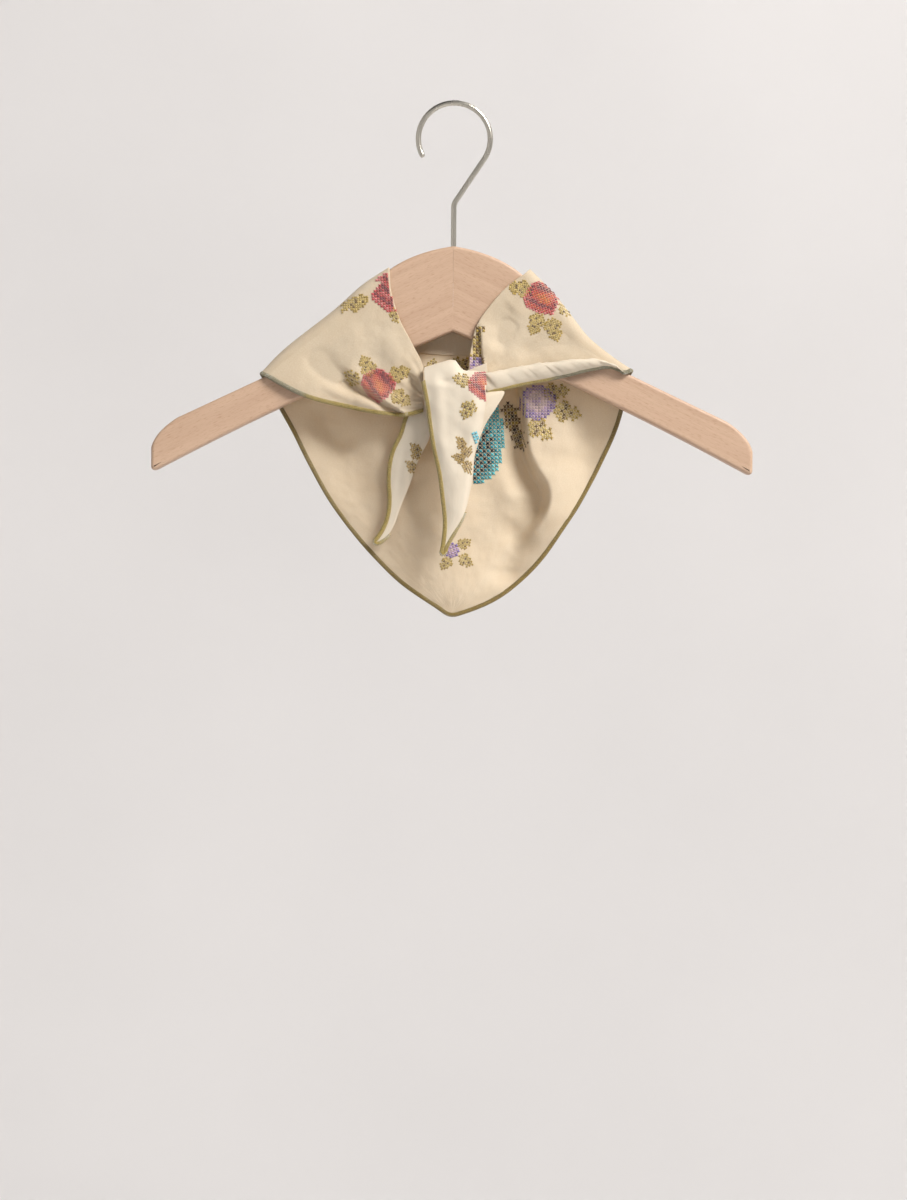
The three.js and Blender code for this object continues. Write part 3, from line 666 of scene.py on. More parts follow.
def voile():
    """Cream cotton voile: open plain weave with slubs, letting light through, whiter where it lies double and
    where painted light brightens the band and the tails.
    """
    material, tree = new_material("cotton_voile")
    cloth_place = node(tree, "ShaderNodeUVMap", uv_map="cloth").outputs[0]

    def cloth_noise(along, across, detail=2.0):
        scale = (1 / along, 1 / across, 1)
        place = node(tree, "ShaderNodeMapping", {0: cloth_place, "Scale": scale}).outputs[0]
        return noise_at(tree, place, detail)

    def threads(direction):
        inputs = {"Vector": cloth_place, "Scale": 0.9, "Distortion": 0.25, "Detail": 1.0}
        wave = node(tree, "ShaderNodeTexWave", inputs, wave_type="BANDS", bands_direction=direction)
        return wave.outputs[1]

    cloudy = cloth_noise(26, 26)
    slub_along = cloth_noise(14, 0.55)
    slub_across = cloth_noise(0.55, 14)
    grain = cloth_noise(0.55, 0.55, 1.0)
    layers = node(tree, "ShaderNodeAttribute", attribute_name="layers").outputs["Fac"]
    base = colour_mix(tree, shift(tree, cloudy, 0.35, 0.65), linear("#ECE0C8"), linear("#E6D7BC"))
    base = colour_mix(tree, shift(tree, slub_along, 0.55, 0.75, 0.0, 0.3), base, linear("#F1E6D2"))
    base = colour_mix(tree, shift(tree, slub_across, 0.55, 0.75, 0.0, 0.3), base, linear("#DAC49E"))
    base = colour_mix(tree, shift(tree, grain, 0.35, 0.65, 0.0, 0.4), base, linear("#D0B992"))
    # Whitened by the layers attribute: partly real double layers, partly painted light on the band and the
    # tails.
    base = colour_mix(tree, shift(tree, layers, 0.0, 1.0), base, linear("#FBF4E2"))
    weave = node(tree, "ShaderNodeMath", {0: threads("X"), 1: threads("Y")}, operation="ADD").outputs[0]
    fine = node(tree, "ShaderNodeBump", {"Strength": 0.2, "Distance": 0.00012, "Height": weave}).outputs[0]
    creased = cloth_noise(7, 5, 3.0)
    bump_inputs = {"Strength": 0.35, "Distance": 0.0006, "Height": creased, "Normal": fine}
    bump = node(tree, "ShaderNodeBump", bump_inputs).outputs[0]
    shader = node(tree, "ShaderNodeBsdfPrincipled", {"Base Color": base, "Roughness": 0.85, "Normal": bump})
    shader.inputs["Specular IOR Level"].default_value = 0.2
    shader.inputs["Sheen Weight"].default_value = 0.15
    through = node(tree, "ShaderNodeBsdfTranslucent", {"Color": linear("#DEBD72"), "Normal": bump})
    both = node(tree, "ShaderNodeMixShader", {0: 0.32, 1: shader.outputs[0], 2: through.outputs[0]})
    node(tree, "ShaderNodeOutputMaterial", {0: both.outputs[0]})
    return material


def thread_material(name, sheen, roughness):
    """Stranded cotton: its own colour on each stitch, slightly uneven, with a soft sheen."""
    material, tree = new_material(name)
    tint = node(tree, "ShaderNodeAttribute", attribute_name="tint").outputs["Color"]
    uneven = noise_at(tree, place_in_mm(tree, 0.0, THREAD_FUZZ), 1.0)
    shade = colour_mix(tree, 1.0, tint, linear("#C4C0BA"), "MULTIPLY")
    base = colour_mix(tree, shift(tree, uneven, 0.3, 0.7), tint, shade)
    shader = node(tree, "ShaderNodeBsdfPrincipled", {"Base Color": base, "Roughness": roughness})
    shader.inputs["Sheen Weight"].default_value = sheen
    shader.inputs["Specular IOR Level"].default_value = 0.3
    node(tree, "ShaderNodeOutputMaterial", {0: shader.outputs[0]})
    return material


def new_piece(name, points, faces, material):
    """A mesh object from points in millimetres, at the origin, shaded smooth."""
    mesh = bpy.data.meshes.new(name)
    mesh.from_pydata((np.asarray(points) * MM).tolist(), [], faces)
    mesh.polygons.foreach_set("use_smooth", [True] * len(mesh.polygons))
    if material:
        mesh.materials.append(material)
    piece = bpy.data.objects.new(name, mesh)
    bpy.context.scene.collection.objects.link(piece)
    return piece


def finish_piece(piece, slot, *nodes):
    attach(piece, "root")
    if nodes:
        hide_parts(*nodes)


def smooth(value, low, high):
    share = np.clip((np.asarray(value, float) - low) / (high - low), 0, 1)
    return share * share * (3 - 2 * share)


def unit(vectors):
    vectors = np.asarray(vectors, float)
    return vectors / np.maximum(np.linalg.norm(vectors, axis=-1, keepdims=True), 1e-9)


def bezier(points, steps):
    """Points along a Bezier curve, without its first one."""
    points = np.asarray(points, float)
    order = len(points) - 1
    share = np.linspace(0, 1, steps + 1)[1:, None]
    weights = [math.comb(order, k) * share**k * (1 - share) ** (order - k) for k in range(order + 1)]
    return sum(weight * point for weight, point in zip(weights, points))


def spline(points, steps=24):
    """A smooth curve through the given points, with equal steps between each two."""
    points = np.asarray(points, float)
    knots = np.vstack([2 * points[0] - points[1], points, 2 * points[-1] - points[-2]])
    share = np.linspace(0, 1, steps, endpoint=False)[:, None]
    parts = []
    for p0, p1, p2, p3 in zip(knots, knots[1:], knots[2:], knots[3:]):
        d0, d1, d2 = (max(math.dist(a, b), 1e-6) ** 0.5 for a, b in ((p0, p1), (p1, p2), (p2, p3)))
        start = ((p1 - p0) / d0 - (p2 - p0) / (d0 + d1) + (p2 - p1) / d1) * d1
        end = ((p2 - p1) / d1 - (p3 - p1) / (d1 + d2) + (p3 - p2) / d2) * d1
        bend = (p1 - p2) * 2 + start + end
        parts.append(p1 + share * start + share**2 * (p2 - p1 - start - bend) + share**3 * bend)
    return np.vstack(parts + [points[-1:]])


def evenly(points, steps):
    walked = np.concatenate([[0], np.cumsum(np.linalg.norm(np.diff(points, axis=0), axis=1))])
    places = np.linspace(0, walked[-1], steps + 1)
    return np.stack([np.interp(places, walked, column) for column in points.T], axis=1)


def upper_edge():
    """The wood's upper edge from the mitre to the arm's end, as (out, height)."""
    arm_top = NOTCH - NECK_REACH * ARM_SLOPE + ARM_DEPTH / math.cos(math.radians(ARM_ANGLE))
    end_top = arm_top - (HALF_SPAN - ARM_END_RADIUS - NECK_REACH) * ARM_SLOPE
    crown_end = CROWN_TOP - CROWN_FALL
    swan = NECK_REACH - CROWN_REACH
    crown = bezier(
        [
            (0, CROWN_TOP),
            (CROWN_REACH * 0.4, CROWN_TOP - CROWN_FALL * 0.15),
            (CROWN_REACH * 0.74, CROWN_TOP - CROWN_FALL * 0.47),
            (CROWN_REACH, crown_end),
        ],
        24,
    )
    neck = bezier(
        [
            (CROWN_REACH, crown_end),
            (CROWN_REACH + 0.26 * swan, crown_end + 0.24 * (arm_top - crown_end)),
            (CROWN_REACH + 0.63 * swan, arm_top + 0.37 * swan * ARM_SLOPE),
            (NECK_REACH, arm_top),
        ],
        24,
    )
    end = bezier(
        [
            (HALF_SPAN - ARM_END_RADIUS, end_top),
            (HALF_SPAN - ARM_END_RADIUS * 0.14, end_top - ARM_END_RADIUS * 0.55),
            (HALF_SPAN, end_top - ARM_END_RADIUS * 1.15),
        ],
        12,
    )
    return np.vstack([[(0, CROWN_TOP)], crown, neck, [(HALF_SPAN - ARM_END_RADIUS, end_top)], end])


def lower_edge():
    """The wood's lower edge from the arm's end to the notch, as (out, height)."""
    low = NOTCH - HALF_SPAN * ARM_SLOPE
    start = (HALF_SPAN, low + 2 * ARM_CORNER)
    corner = bezier([start, (HALF_SPAN, low), (HALF_SPAN - 2 * ARM_CORNER, low + ARM_CORNER * 0.9)], 6)
    middle = (HALF_SPAN / 2, NOTCH - HALF_SPAN / 2 * ARM_SLOPE + 2 * ARM_BOW)
    return np.vstack([[start], corner, bezier([corner[-1], middle, (0, NOTCH)], 40)])


UPPER_EDGE, LOWER_EDGE = upper_edge(), lower_edge()


def wood_top(out):
    return np.interp(out, UPPER_EDGE[:, 0], UPPER_EDGE[:, 1])


def wood_low(out):
    return np.interp(np.abs(out), LOWER_EDGE[::-1, 0], LOWER_EDGE[::-1, 1])


def board_mesh(side):
    """One half of the board with rounded long edges, cut along the mitre."""
    right = np.vstack([UPPER_EDGE, LOWER_EDGE])
    outline = np.vstack([right, (right[1:-1] * (-1, 1))[::-1]])
    before, after = np.roll(outline, 1, 0), np.roll(outline, -1, 0)
    inward = unit(unit(outline - before) + unit(after - outline)) @ np.array([[0, -1], [1, 0]])
    angles = np.linspace(0, math.pi / 2, 6)
    quarter = [(BOARD_EDGE * (1 - math.cos(a)), BOARD_HALF - BOARD_EDGE * (1 - math.sin(a))) for a in angles]
    levels = quarter + [(BOARD_EDGE + 0.6, BOARD_HALF)]
    levels = [(inset, -out) for inset, out in levels[::-1]] + levels
    count = len(outline)
    mesh = bmesh.new()
    for inset, out in levels:
        for x, z in outline + inward * inset:
            mesh.verts.new((x, out, z))
    mesh.verts.ensure_lookup_table()
    vertices = mesh.verts
    for level in range(len(levels) - 1):
        for i in range(count):
            j = (i + 1) % count
            ring = level * count
            mesh.faces.new([vertices[k] for k in (ring + i, ring + j, ring + count + j, ring + count + i)])
    mesh.faces.new(vertices[:count])
    mesh.faces.new(vertices[-count:][::-1])
    cut = bmesh.ops.bisect_plane(
        mesh,
        geom=mesh.verts[:] + mesh.edges[:] + mesh.faces[:],
        plane_co=(side * MITRE_GAP / 2, 0, 0),
        plane_no=(side, 0, 0),
        clear_inner=True,
    )
    edges = [part for part in cut["geom_cut"] if isinstance(part, bmesh.types.BMEdge)]
    bmesh.ops.holes_fill(mesh, edges=edges, sides=0)
    for edge in edges:
        edge.smooth = False
    bmesh.ops.recalc_face_normals(mesh, faces=mesh.faces)
    return mesh


def build_arm(side, material):
    name = "hanger_wood_right" if side > 0 else "hanger_wood_left"
    mesh = board_mesh(side)
    bmesh.ops.scale(mesh, vec=(MM, MM, MM), verts=mesh.verts)
    data = bpy.data.meshes.new(name)
    mesh.to_mesh(data)
    mesh.free()
    data.polygons.foreach_set("use_smooth", [True] * len(data.polygons))
    data.materials.append(material)
    piece = bpy.data.objects.new(name, data)
    bpy.context.scene.collection.objects.link(piece)
    finish_piece(piece, "beech", "hanger_arm_right" if side > 0 else "hanger_arm_left")


def tube(path, across, through, sides):
    """A closed bar along a path, given two directions across it, each as long as the radius that way."""
    angles = np.linspace(0, 2 * math.pi, sides, endpoint=False)
    rings = [np.cos(a) * across + np.sin(a) * through for a in angles]
    points = (path[:, None] + np.stack(rings, 1)).reshape(-1, 3)
    count = len(path)
    faces = [
        (i * sides + k, i * sides + (k + 1) % sides, (i + 1) * sides + (k + 1) % sides, (i + 1) * sides + k)
        for i in range(count - 1)
        for k in range(sides)
    ]
    faces.append(tuple(range(sides))[::-1])
    faces.append(tuple(range((count - 1) * sides, count * sides)))
    return points, faces


def hook_path():
    """The wire's middle line, from its end in the crown up and round the bend."""
    radius = HOOK_INSIDE + WIRE_RADIUS
    bend = -HOOK_INSIDE - radius / math.sin(HOOK_SLANT)
    reach = SHANK_BEND * math.tan(HOOK_SLANT / 2)
    shank = [(0, z) for z in np.linspace(CROWN_TOP - SHANK_IN_WOOD, bend - reach, 12)]
    turns = np.linspace(0, HOOK_SLANT, 9)[1:]
    elbow = [(SHANK_BEND * (1 - math.cos(a)), bend - reach + SHANK_BEND * math.sin(a)) for a in turns]
    angles = np.linspace(-HOOK_SLANT, HOOK_END, 90)
    loop = [(radius * math.cos(a), -HOOK_INSIDE + radius * math.sin(a)) for a in angles]
    steps = np.linspace(0, 1, 8)[1:-1, None]
    leaned = np.array(elbow[-1]) + steps * (np.array(loop[0]) - np.array(elbow[-1]))
    flat = np.vstack([shank, elbow, leaned, loop])
    return np.stack([flat[:, 0], np.zeros(len(flat)), flat[:, 1]], 1)


def build_hook(material, sides):
    path = hook_path()
    tangent = unit(np.gradient(path, axis=0))
    shrink = np.ones(len(path))
    turns = np.linspace(*TIP_TURNS, 6)
    dome = path[-1] + tangent[-1] * WIRE_RADIUS * np.sin(turns)[:, None]
    path = np.vstack([path, dome])
    tangent = np.vstack([tangent, np.repeat(tangent[-1:], len(dome), 0)])
    shrink = np.concatenate([shrink, np.cos(turns)])[:, None] * WIRE_RADIUS
    through = np.tile((0.0, 1.0, 0.0), (len(path), 1))
    across = np.cross(through, tangent)
    points, faces = tube(path, across * shrink, through * shrink, sides)
    piece = new_piece("hook_wire", points, faces, material)
    finish_piece(piece, "wire", "hook")


def line_place(x, z, line):
    """Each place's distance from a line, its side (+1 is left), the share walked and how far past an end."""
    path = spline(line, 8)
    steps = np.diff(path, axis=0)
    lengths = np.linalg.norm(steps, axis=1)
    walked = np.concatenate([[0], np.cumsum(lengths)])
    place = np.stack([x, z], -1)[..., None, :]
    offset = place - path[:-1]
    share = (offset * steps).sum(-1) / lengths**2
    held = np.clip(share, 0, 1)
    gap = np.linalg.norm(offset - held[..., None] * steps, axis=-1)
    nearest = gap.argmin(-1)[..., None]

    def pick(values):
        return np.take_along_axis(values, nearest, -1)[..., 0]

    cross = steps[:, 0] * offset[..., 1] - steps[:, 1] * offset[..., 0]
    along = pick(walked[:-1] + held * lengths) / walked[-1]
    past = pick(np.abs(share - held) * lengths)
    return pick(gap), np.sign(pick(cross)), along, past


def faded(along, past, fade):
    start = smooth(along, 0, FADE_SHARE) if fade[0] else 1.0
    end = smooth(1 - along, 0, FADE_SHARE) if fade[1] else 1.0
    return start * end * np.exp(-((past / FADE_LENGTH) ** 2))


def ridge_height(x, z, line, rise, width, fade):
    gap, _, along, _ = line_place(x, z, line)
    return rise * np.exp(-((gap / width) ** 2)) * faded(along, 0.0, fade)


def lip_height(x, z, line, rise, drop, edge, reach, back, fade):
    gap, side, along, past = line_place(x, z, line)
    offset = gap * side
    crisp = edge[0] + (edge[1] - edge[0]) * along
    front = (rise[0] + (rise[1] - rise[0]) * along) * (1 - smooth(offset, 0.0, reach))
    rear = -drop * (1 - smooth(-offset, 0.0, back))
    upper = smooth(offset, -crisp, crisp)
    return (front * upper + rear * (1 - upper)) * faded(along, past, fade)


def fold_height(x, z, ridges, lips):
    height = np.zeros_like(x)
    for ridge in ridges:
        height += ridge_height(x, z, **ridge)
    for lip in lips:
        height += lip_height(x, z, **lip)
    return height


def rumple(points, amount, size, seed):
    """Low, uneven waviness at each point, as in cloth that has been washed and tied."""
    flat = points.reshape(-1, 3) / size + seed * 17.3
    values = np.array([noise.fractal(Vector(p), 1.0, 2.2, 3) for p in flat])
    return amount * values.reshape(points.shape[:-1])


def patch(first, last, start, end):
    """Cloth between four edges: first and last run along it, start and end across it."""
    u = np.linspace(0, 1, len(first))[:, None, None]
    v = np.linspace(0, 1, len(start))[None, :, None]
    along = first[:, None] * (1 - v) + last[:, None] * v
    across = start[None] * (1 - u) + end[None] * u
    corners = (start[0] * (1 - v) + start[-1] * v) * (1 - u) + (end[0] * (1 - v) + end[-1] * v) * u
    return along + across - corners


def shoulder(rows, side):
    """A shoulder fold over the hanger, as arches from the panel's side to the flap's side."""
    rows = np.array(rows)
    out = rows[:, 0] * HALF_SPAN
    height = wood_top(out) + SHOULDER_CLEARANCE + rows[:, 1] * BRIDGE_HEIGHT
    top = evenly(spline(np.stack([side * out, 0 * out, height], 1)), FOLD_STEPS)
    share = np.linspace(0, 1, FOLD_STEPS + 1)[:, None]
    across = unit(np.gradient(top, axis=0))
    down = np.stack([-across[:, 2], 0 * across[:, 0], across[:, 0]], 1)
    down *= -np.sign(down[:, 2:])
    clear = np.interp(np.abs(top[:, 0]), out, rows[:, 1])[:, None]
    plane = CLOTH_PLANE + (HEM_PLANE - CLOTH_PLANE) * share
    corner = BOARD_EDGE + plane - BOARD_HALF + SHOULDER_FULLNESS * clear
    falls = (BACK_NECK_FALL, BACK_HEM_FALL, FRONT_HEM_FALL)
    back_neck, back_hem, front_hem = (np.array((-side * inward, 0, down)) for inward, down in falls)
    flows = {
        1: unit(back_neck * (1 - share) + back_hem * share),
        -1: unit(NECK_FALL[side] * (1 - share) + front_hem * share),
    }
    half = ROUND_STEPS // 2

    def step_points(face, step):
        angle = (step - 1) / (half - 1) * math.pi / 2
        drop = corner * (1 - math.cos(angle))
        flow = flows[face]
        fall = np.maximum((flow * down).sum(1, keepdims=True), 0.5)
        points = top + flow * drop / fall
        points[:, 1:2] = face * (plane - corner * (1 - math.sin(angle)))
        return points

    arch = [step_points(1, step) for step in range(half, 0, -1)] + [top]
    arch += [step_points(-1, step) for step in range(1, half + 1)]
    return np.stack(arch, 1)


def panel_side(start, top, column):
    rows = np.array(PANEL_SIDES)
    down, out = rows[:, 0], rows[:, column]
    points = np.stack([start[0] * out, 0 * down + HEM_PLANE, top - down * PANEL_LENGTH], 1)
    return evenly(spline(np.vstack([start, points])), SIDE_STEPS)


def back_panel(left, right):
    """The back panel, from the neck edge and both shoulders down to its point."""
    top = (left[-1, ROUND_STEPS // 2, 2] + right[-1, ROUND_STEPS // 2, 2]) / 2
    left_edge = np.vstack([left[:, 0], panel_side(left[-1, 0], top, 1)[1:]])
    right_edge = np.vstack([right[:, 0], panel_side(right[-1, 0], top, 2)[1:]])
    share = np.linspace(0, 1, PANEL_STEPS + 1)[None, :, None]
    points = left_edge[:, None] * (1 - share) + right_edge[:, None] * share
    fold_run, side_run, whole_run = SAG_RUN
    side_down = fold_run + np.linspace(0, side_run, SIDE_STEPS + 1)[1:]
    down = np.concatenate([np.linspace(0, fold_run, FOLD_STEPS + 1), side_down]) / whole_run
    sag = NECK_SAG * (1 - smooth(down, 0, 0.9))[:, None]
    points[..., 2] -= sag * 4 * (share * (1 - share))[..., 0]
    x, z = points[..., 0], points[..., 2]
    free = smooth(wood_low(x) - z, *PANEL_FREE)
    height = fold_height(x, z, PANEL_RIDGES, PANEL_LIPS) + rumple(points, *PANEL_RUMPLE, 1)
    points[..., 1] -= height * free
    return points


def flap(side, arches, entry, neck_rows, hem_rows, lifts, ridges, lips):
    """A flap, from the shoulder fold down to the knot: rows go to the knot, columns from neck to hem."""
    (neck_out, neck_down), (hem_out, hem_down) = entry
    half_width = KNOT_WIDTH / 2
    neck_end = np.array((side * neck_out * half_width, -CLOTH_PLANE, KNOT_TOP - neck_down * KNOT_HEIGHT))
    hem_end = np.array((side * hem_out * half_width, -CLOTH_PLANE, KNOT_TOP - hem_down * KNOT_HEIGHT))
    fold = arches[:, -1]
    drop = fold[0, 2] - neck_end[2]

    def edge(start, end, rows):
        bowed = [start + (end - start) * share - (0, 0, across * drop) for share, across in rows]
        return evenly(spline([start] + bowed + [end]), FLAP_STEPS)

    share = np.linspace(0, 1, FOLD_STEPS + 1)[:, None]
    end = neck_end * (1 - share) + hem_end * share
    points = patch(edge(fold[0], neck_end, neck_rows), edge(fold[-1], hem_end, hem_rows), fold, end)
    to_knot = np.linspace(0, 1, FLAP_STEPS + 1)
    across = share[:, 0]
    lifts = np.array(lifts)
    place = np.interp(to_knot, lifts[:, 0], np.arange(len(lifts)))
    place = np.floor(place) + smooth(place - np.floor(place), 0, 1)
    columns = [np.interp(place, np.arange(len(lifts)), lifts[:, k]) for k in (1, 2, 3)]
    lift = np.array([np.interp(across, (0, 0.5, 1), values) for values in zip(*columns)])
    x, z = points[..., 0], points[..., 2]
    free = smooth(to_knot, *FLAP_FREE)[:, None]
    height = fold_height(x, z, ridges, lips)
    pull = sum(share * np.sin(across * close + shifted * side) for share, close, shifted in PULLS)
    pulled = PULL_HEIGHT * pull[None] * smooth(to_knot, 0.45, 1.0)[:, None]
    height += pulled + rumple(points, *FLAP_RUMPLE, 2 + side)
    points[..., 1] -= lift * KNOT_DEPTH + height * free
    out = np.abs(x)
    over_wood = (points[..., 2] < wood_top(out) + 1) & (points[..., 2] > wood_low(out) - 1)
    points[..., 1] = np.where(over_wood, np.minimum(points[..., 1], -CLOTH_PLANE + 0.02), points[..., 1])
    return points


def rolled_band(grid):
    """The fold along the flap's hem: up its front from the hem, over the roll and down behind."""
    to_knot = np.linspace(0, 1, len(grid))
    widths, heights = (np.interp(to_knot, *(np.array(BAND)[:, k] for k in (0, column))) for column in (1, 2))
    rows = []
    for row, width, height in zip(grid, widths, heights):
        walked = np.concatenate([[0], np.cumsum(np.linalg.norm(np.diff(row[::-1], axis=0), axis=1))])
        rows.append([np.interp(width, walked, column) for column in row[::-1].T])
    hem, lip = grid[:, -1], np.array(rows)
    up = unit(lip - hem)
    facing = unit(np.cross(np.gradient(hem, axis=0), up))
    facing *= -np.sign(facing[:, 1:2])
    roll = heights / 2
    turns = np.linspace(math.pi / 2, -math.pi / 2, 13)
    section = []
    for share in np.linspace(0, 1, 12)[:-1]:
        out = BAND_FOOT + (heights - BAND_FOOT) * math.sin(share * math.pi / 2) ** 0.8
        section.append((share * (widths - roll), out))
    section += [(widths - roll + roll * math.cos(a), roll + roll * math.sin(a)) for a in turns]
    section.append((widths - roll - BAND_RETURN, np.full_like(roll, 0.05)))
    points = [hem + up * along[:, None] + facing * (out + BAND_OFF)[:, None] for along, out in section]
    points = np.stack(points, 1)
    wavy = rumple(points, *BAND_RUMPLE, 9) * smooth(to_knot, 0, 0.15)[:, None]
    return points + facing[:, None] * wavy[..., None]


def strand(rows, length, bulge, back=0.0, roll=0.0):
    """A strand through the knot or hanging from it, which bulges towards the viewer between its two edges."""
    rows = np.array(rows)

    def edge(x, z):
        out = -CLOTH_PLANE - rows[:, 4] * KNOT_DEPTH + back
        path = spline(np.stack([rows[:, x] * KNOT_WIDTH / 2, out, KNOT_TOP - rows[:, z] * length], 1))
        wanted = np.linspace(0, len(path) - 1, STRAND_STEPS + 1)
        return np.stack([np.interp(wanted, np.arange(len(path)), column) for column in path.T], 1)

    share = np.linspace(0, 1, STRAND_ACROSS + 1)[None, :, None]
    points = edge(0, 1)[:, None] * (1 - share) + edge(2, 3)[:, None] * share
    across = share[..., 0]
    width = np.linalg.norm(points[:, -1] - points[:, 0], axis=1)[:, None]
    body = smooth(width, *BODY_WIDTHS)
    points[..., 1] -= body * (bulge * np.sin(math.pi * across) - roll * smooth(across, 0.8, 1.0))
    points[..., 1] -= body * rumple(points, *STRAND_RUMPLE, 5)
    return points


def normals_of(points, cells):
    a, b, c, d = (points[cells[:, k]] for k in range(4))
    facing = np.cross(c - a, d - b)
    total = np.zeros_like(points)
    for k in range(4):
        np.add.at(total, cells[:, k], facing)
    return unit(total)


def meeting_keys(points):
    """Whole numbers for each point, the same for points that meet."""
    return np.round(points * KEYS_PER_MM).astype(int)


def merge_grids(grids):
    """Joins grids of points, each (points, turned, its whitening for double layers and painted light), where
    they meet.
    """
    points, cells, places, double_and_painted_light, start = [], [], [], [], 0
    for grid, turned, layers in grids:
        rows, columns = grid.shape[:2]
        ids = start + np.arange(rows * columns).reshape(rows, columns)
        quads = np.stack([ids[:-1, :-1], ids[1:, :-1], ids[1:, 1:], ids[:-1, 1:]], -1).reshape(-1, 4)
        cells.append(quads[:, ::-1] if turned else quads)
        points.append(grid.reshape(-1, 3))
        down = np.concatenate([[0], np.cumsum(np.linalg.norm(np.diff(grid, axis=0), axis=2).mean(1))])
        over = np.concatenate([[0], np.cumsum(np.linalg.norm(np.diff(grid, axis=1), axis=2).mean(0))])
        plane = np.stack(np.meshgrid(down, over, indexing="ij"), -1)
        places.append(plane.reshape(-1, 2))
        double_and_painted_light.append(np.broadcast_to(layers, (rows, columns)).reshape(-1))
        start += rows * columns
    points, cells, places = np.vstack(points), np.vstack(cells), np.vstack(places)
    _, first, back = np.unique(meeting_keys(points), axis=0, return_index=True, return_inverse=True)
    return points[first], back.reshape(-1)[cells], places[cells], np.concatenate(double_and_painted_light)[first]


def thicken(points, cells, places, thickness):
    """A closed skin round a middle surface: points, faces, each corner's place on the cloth, and the rim."""
    normals = normals_of(points, cells)
    count = len(points)
    skin = np.vstack([points + normals * thickness / 2, points - normals * thickness / 2])
    edges = np.concatenate([cells[:, [k, (k + 1) % 4]] for k in range(4)])
    spots = np.concatenate([places[:, [k, (k + 1) % 4]] for k in range(4)])
    known = {tuple(edge) for edge in edges.tolist()}
    rim = np.array([i for i, (a, b) in enumerate(edges.tolist()) if (b, a) not in known])
    a, b = edges[rim, 0], edges[rim, 1]
    rims = np.stack([b, a, a + count, b + count], 1)
    faces = np.vstack([cells, cells[:, ::-1] + count, rims])
    rim_places = np.stack([spots[rim, 1], spots[rim, 0], spots[rim, 0], spots[rim, 1]], 1)
    planes = np.vstack([places, places[:, ::-1], rim_places])
    return skin, faces, planes, set(a.tolist()) | set(b.tolist())


def turned_layer(edge_first, normals, depth):
    """Rows folded in under a neck edge: from the layer's far edge and round the fold, nearly to the edge."""
    rows = edge_first[: depth + 1]
    facing = normals[: depth + 1]
    outward = unit(rows[0] - rows[1])
    middle = rows[0] + facing[0] * TURN_GAP / 2
    turns = np.linspace(math.pi, 0, 7)[1:-1]
    fold = [middle + TURN_GAP / 2 * (outward * math.sin(a) - facing[0] * math.cos(a)) for a in turns]
    layer = rows + facing * TURN_GAP
    return np.concatenate([layer[::-1], np.array(fold)])


def cloth_grids():
    """Every part of the neckerchief's middle surface, by name."""
    left = shoulder(LEFT_SHOULDER, -1)
    right = shoulder(RIGHT_SHOULDER, 1)
    left_flap = flap(
        -1, left, LEFT_ENTRY, LEFT_NECK_EDGE, LEFT_HEM, LEFT_LIFT, LEFT_FLAP_RIDGES, LEFT_FLAP_LIPS
    )
    right_flap = flap(
        1, right, RIGHT_ENTRY, RIGHT_NECK_EDGE, RIGHT_HEM, RIGHT_LIFT, RIGHT_FLAP_RIDGES, RIGHT_FLAP_LIPS
    )
    return {
        "panel": back_panel(left, right),
        "left_shoulder": left,
        "right_shoulder": right,
        "left_flap": left_flap,
        "right_flap": right_flap,
        "band": rolled_band(right_flap),
        "crossing": strand(CROSSING, KNOT_HEIGHT, 2.5),
        "front_tail": front_tail(FRONT_TAIL, 0.0),
        "front_tail_under": front_tail(FRONT_TAIL_UNDER, 1.5),
        "side_tail": side_tail(0.0),
        "side_tail_under": side_tail(1.1),
    }


def front_tail(rows, back):
    points = strand(rows, FRONT_TAIL_LENGTH, 1.4, back, 1.2)
    if not back:
        crest = np.interp(np.linspace(0, 1, STRAND_ACROSS + 1), *zip(*FRONT_TAIL_CREST))
        points[..., 2] += crest * smooth(points[..., 2], *CREST_HEIGHTS)
    x, z = points[..., 0], points[..., 2]
    points[..., 1] -= fold_height(x, z, FRONT_TAIL_RIDGES, []) * smooth(-z, *FOLDED_BELOW)
    return points


def side_tail(back):
    points = strand(SIDE_TAIL, SIDE_TAIL_LENGTH, 1.0, back, 0.5)
    points[..., 1] -= fold_height(points[..., 0], points[..., 2], SIDE_TAIL_RIDGES, [])
    return points


def cloth_mesh(grids, turned_in, thickness):
    """The whole cloth as a closed skin, and its whitening at each point of its middle surface, for double
    layers and painted light.
    """
    first = [(grids[name], turned, 0.0) for name, turned in TURNED.items()]
    points, cells, _, _ = merge_grids(first)
    normals = normals_of(points, cells)
    found = {tuple(key): i for i, key in enumerate(meeting_keys(points).tolist())}
    depth = round(turned_in * FOLD_STEPS)
    over = np.linspace(PANEL_DOUBLE_AND_PAINTED_LIGHT, FLAP_DOUBLE_AND_PAINTED_LIGHT, ROUND_STEPS + 1)
    whole = []
    for name, turned in TURNED.items():
        grid = grids[name]
        keys = meeting_keys(grid.reshape(-1, 3)).tolist()
        facing = normals[[found[tuple(key)] for key in keys]].reshape(grid.shape)
        if "flap" in name:
            layer = turned_layer(grid.swapaxes(0, 1), facing.swapaxes(0, 1), depth)
            whole.append((np.concatenate([layer.swapaxes(0, 1), grid], 1), turned, FLAP_DOUBLE_AND_PAINTED_LIGHT))
        else:
            layers = over if "shoulder" in name else PANEL_DOUBLE_AND_PAINTED_LIGHT
            whole.append((np.concatenate([turned_layer(grid, facing, depth), grid]), turned, layers))
    whole += [(grids[name], False, layers) for name, layers in LAID_DOUBLE_AND_PAINTED_LIGHT.items()]
    points, cells, places, layers = merge_grids(whole)
    return *thicken(points, cells, places, thickness), layers


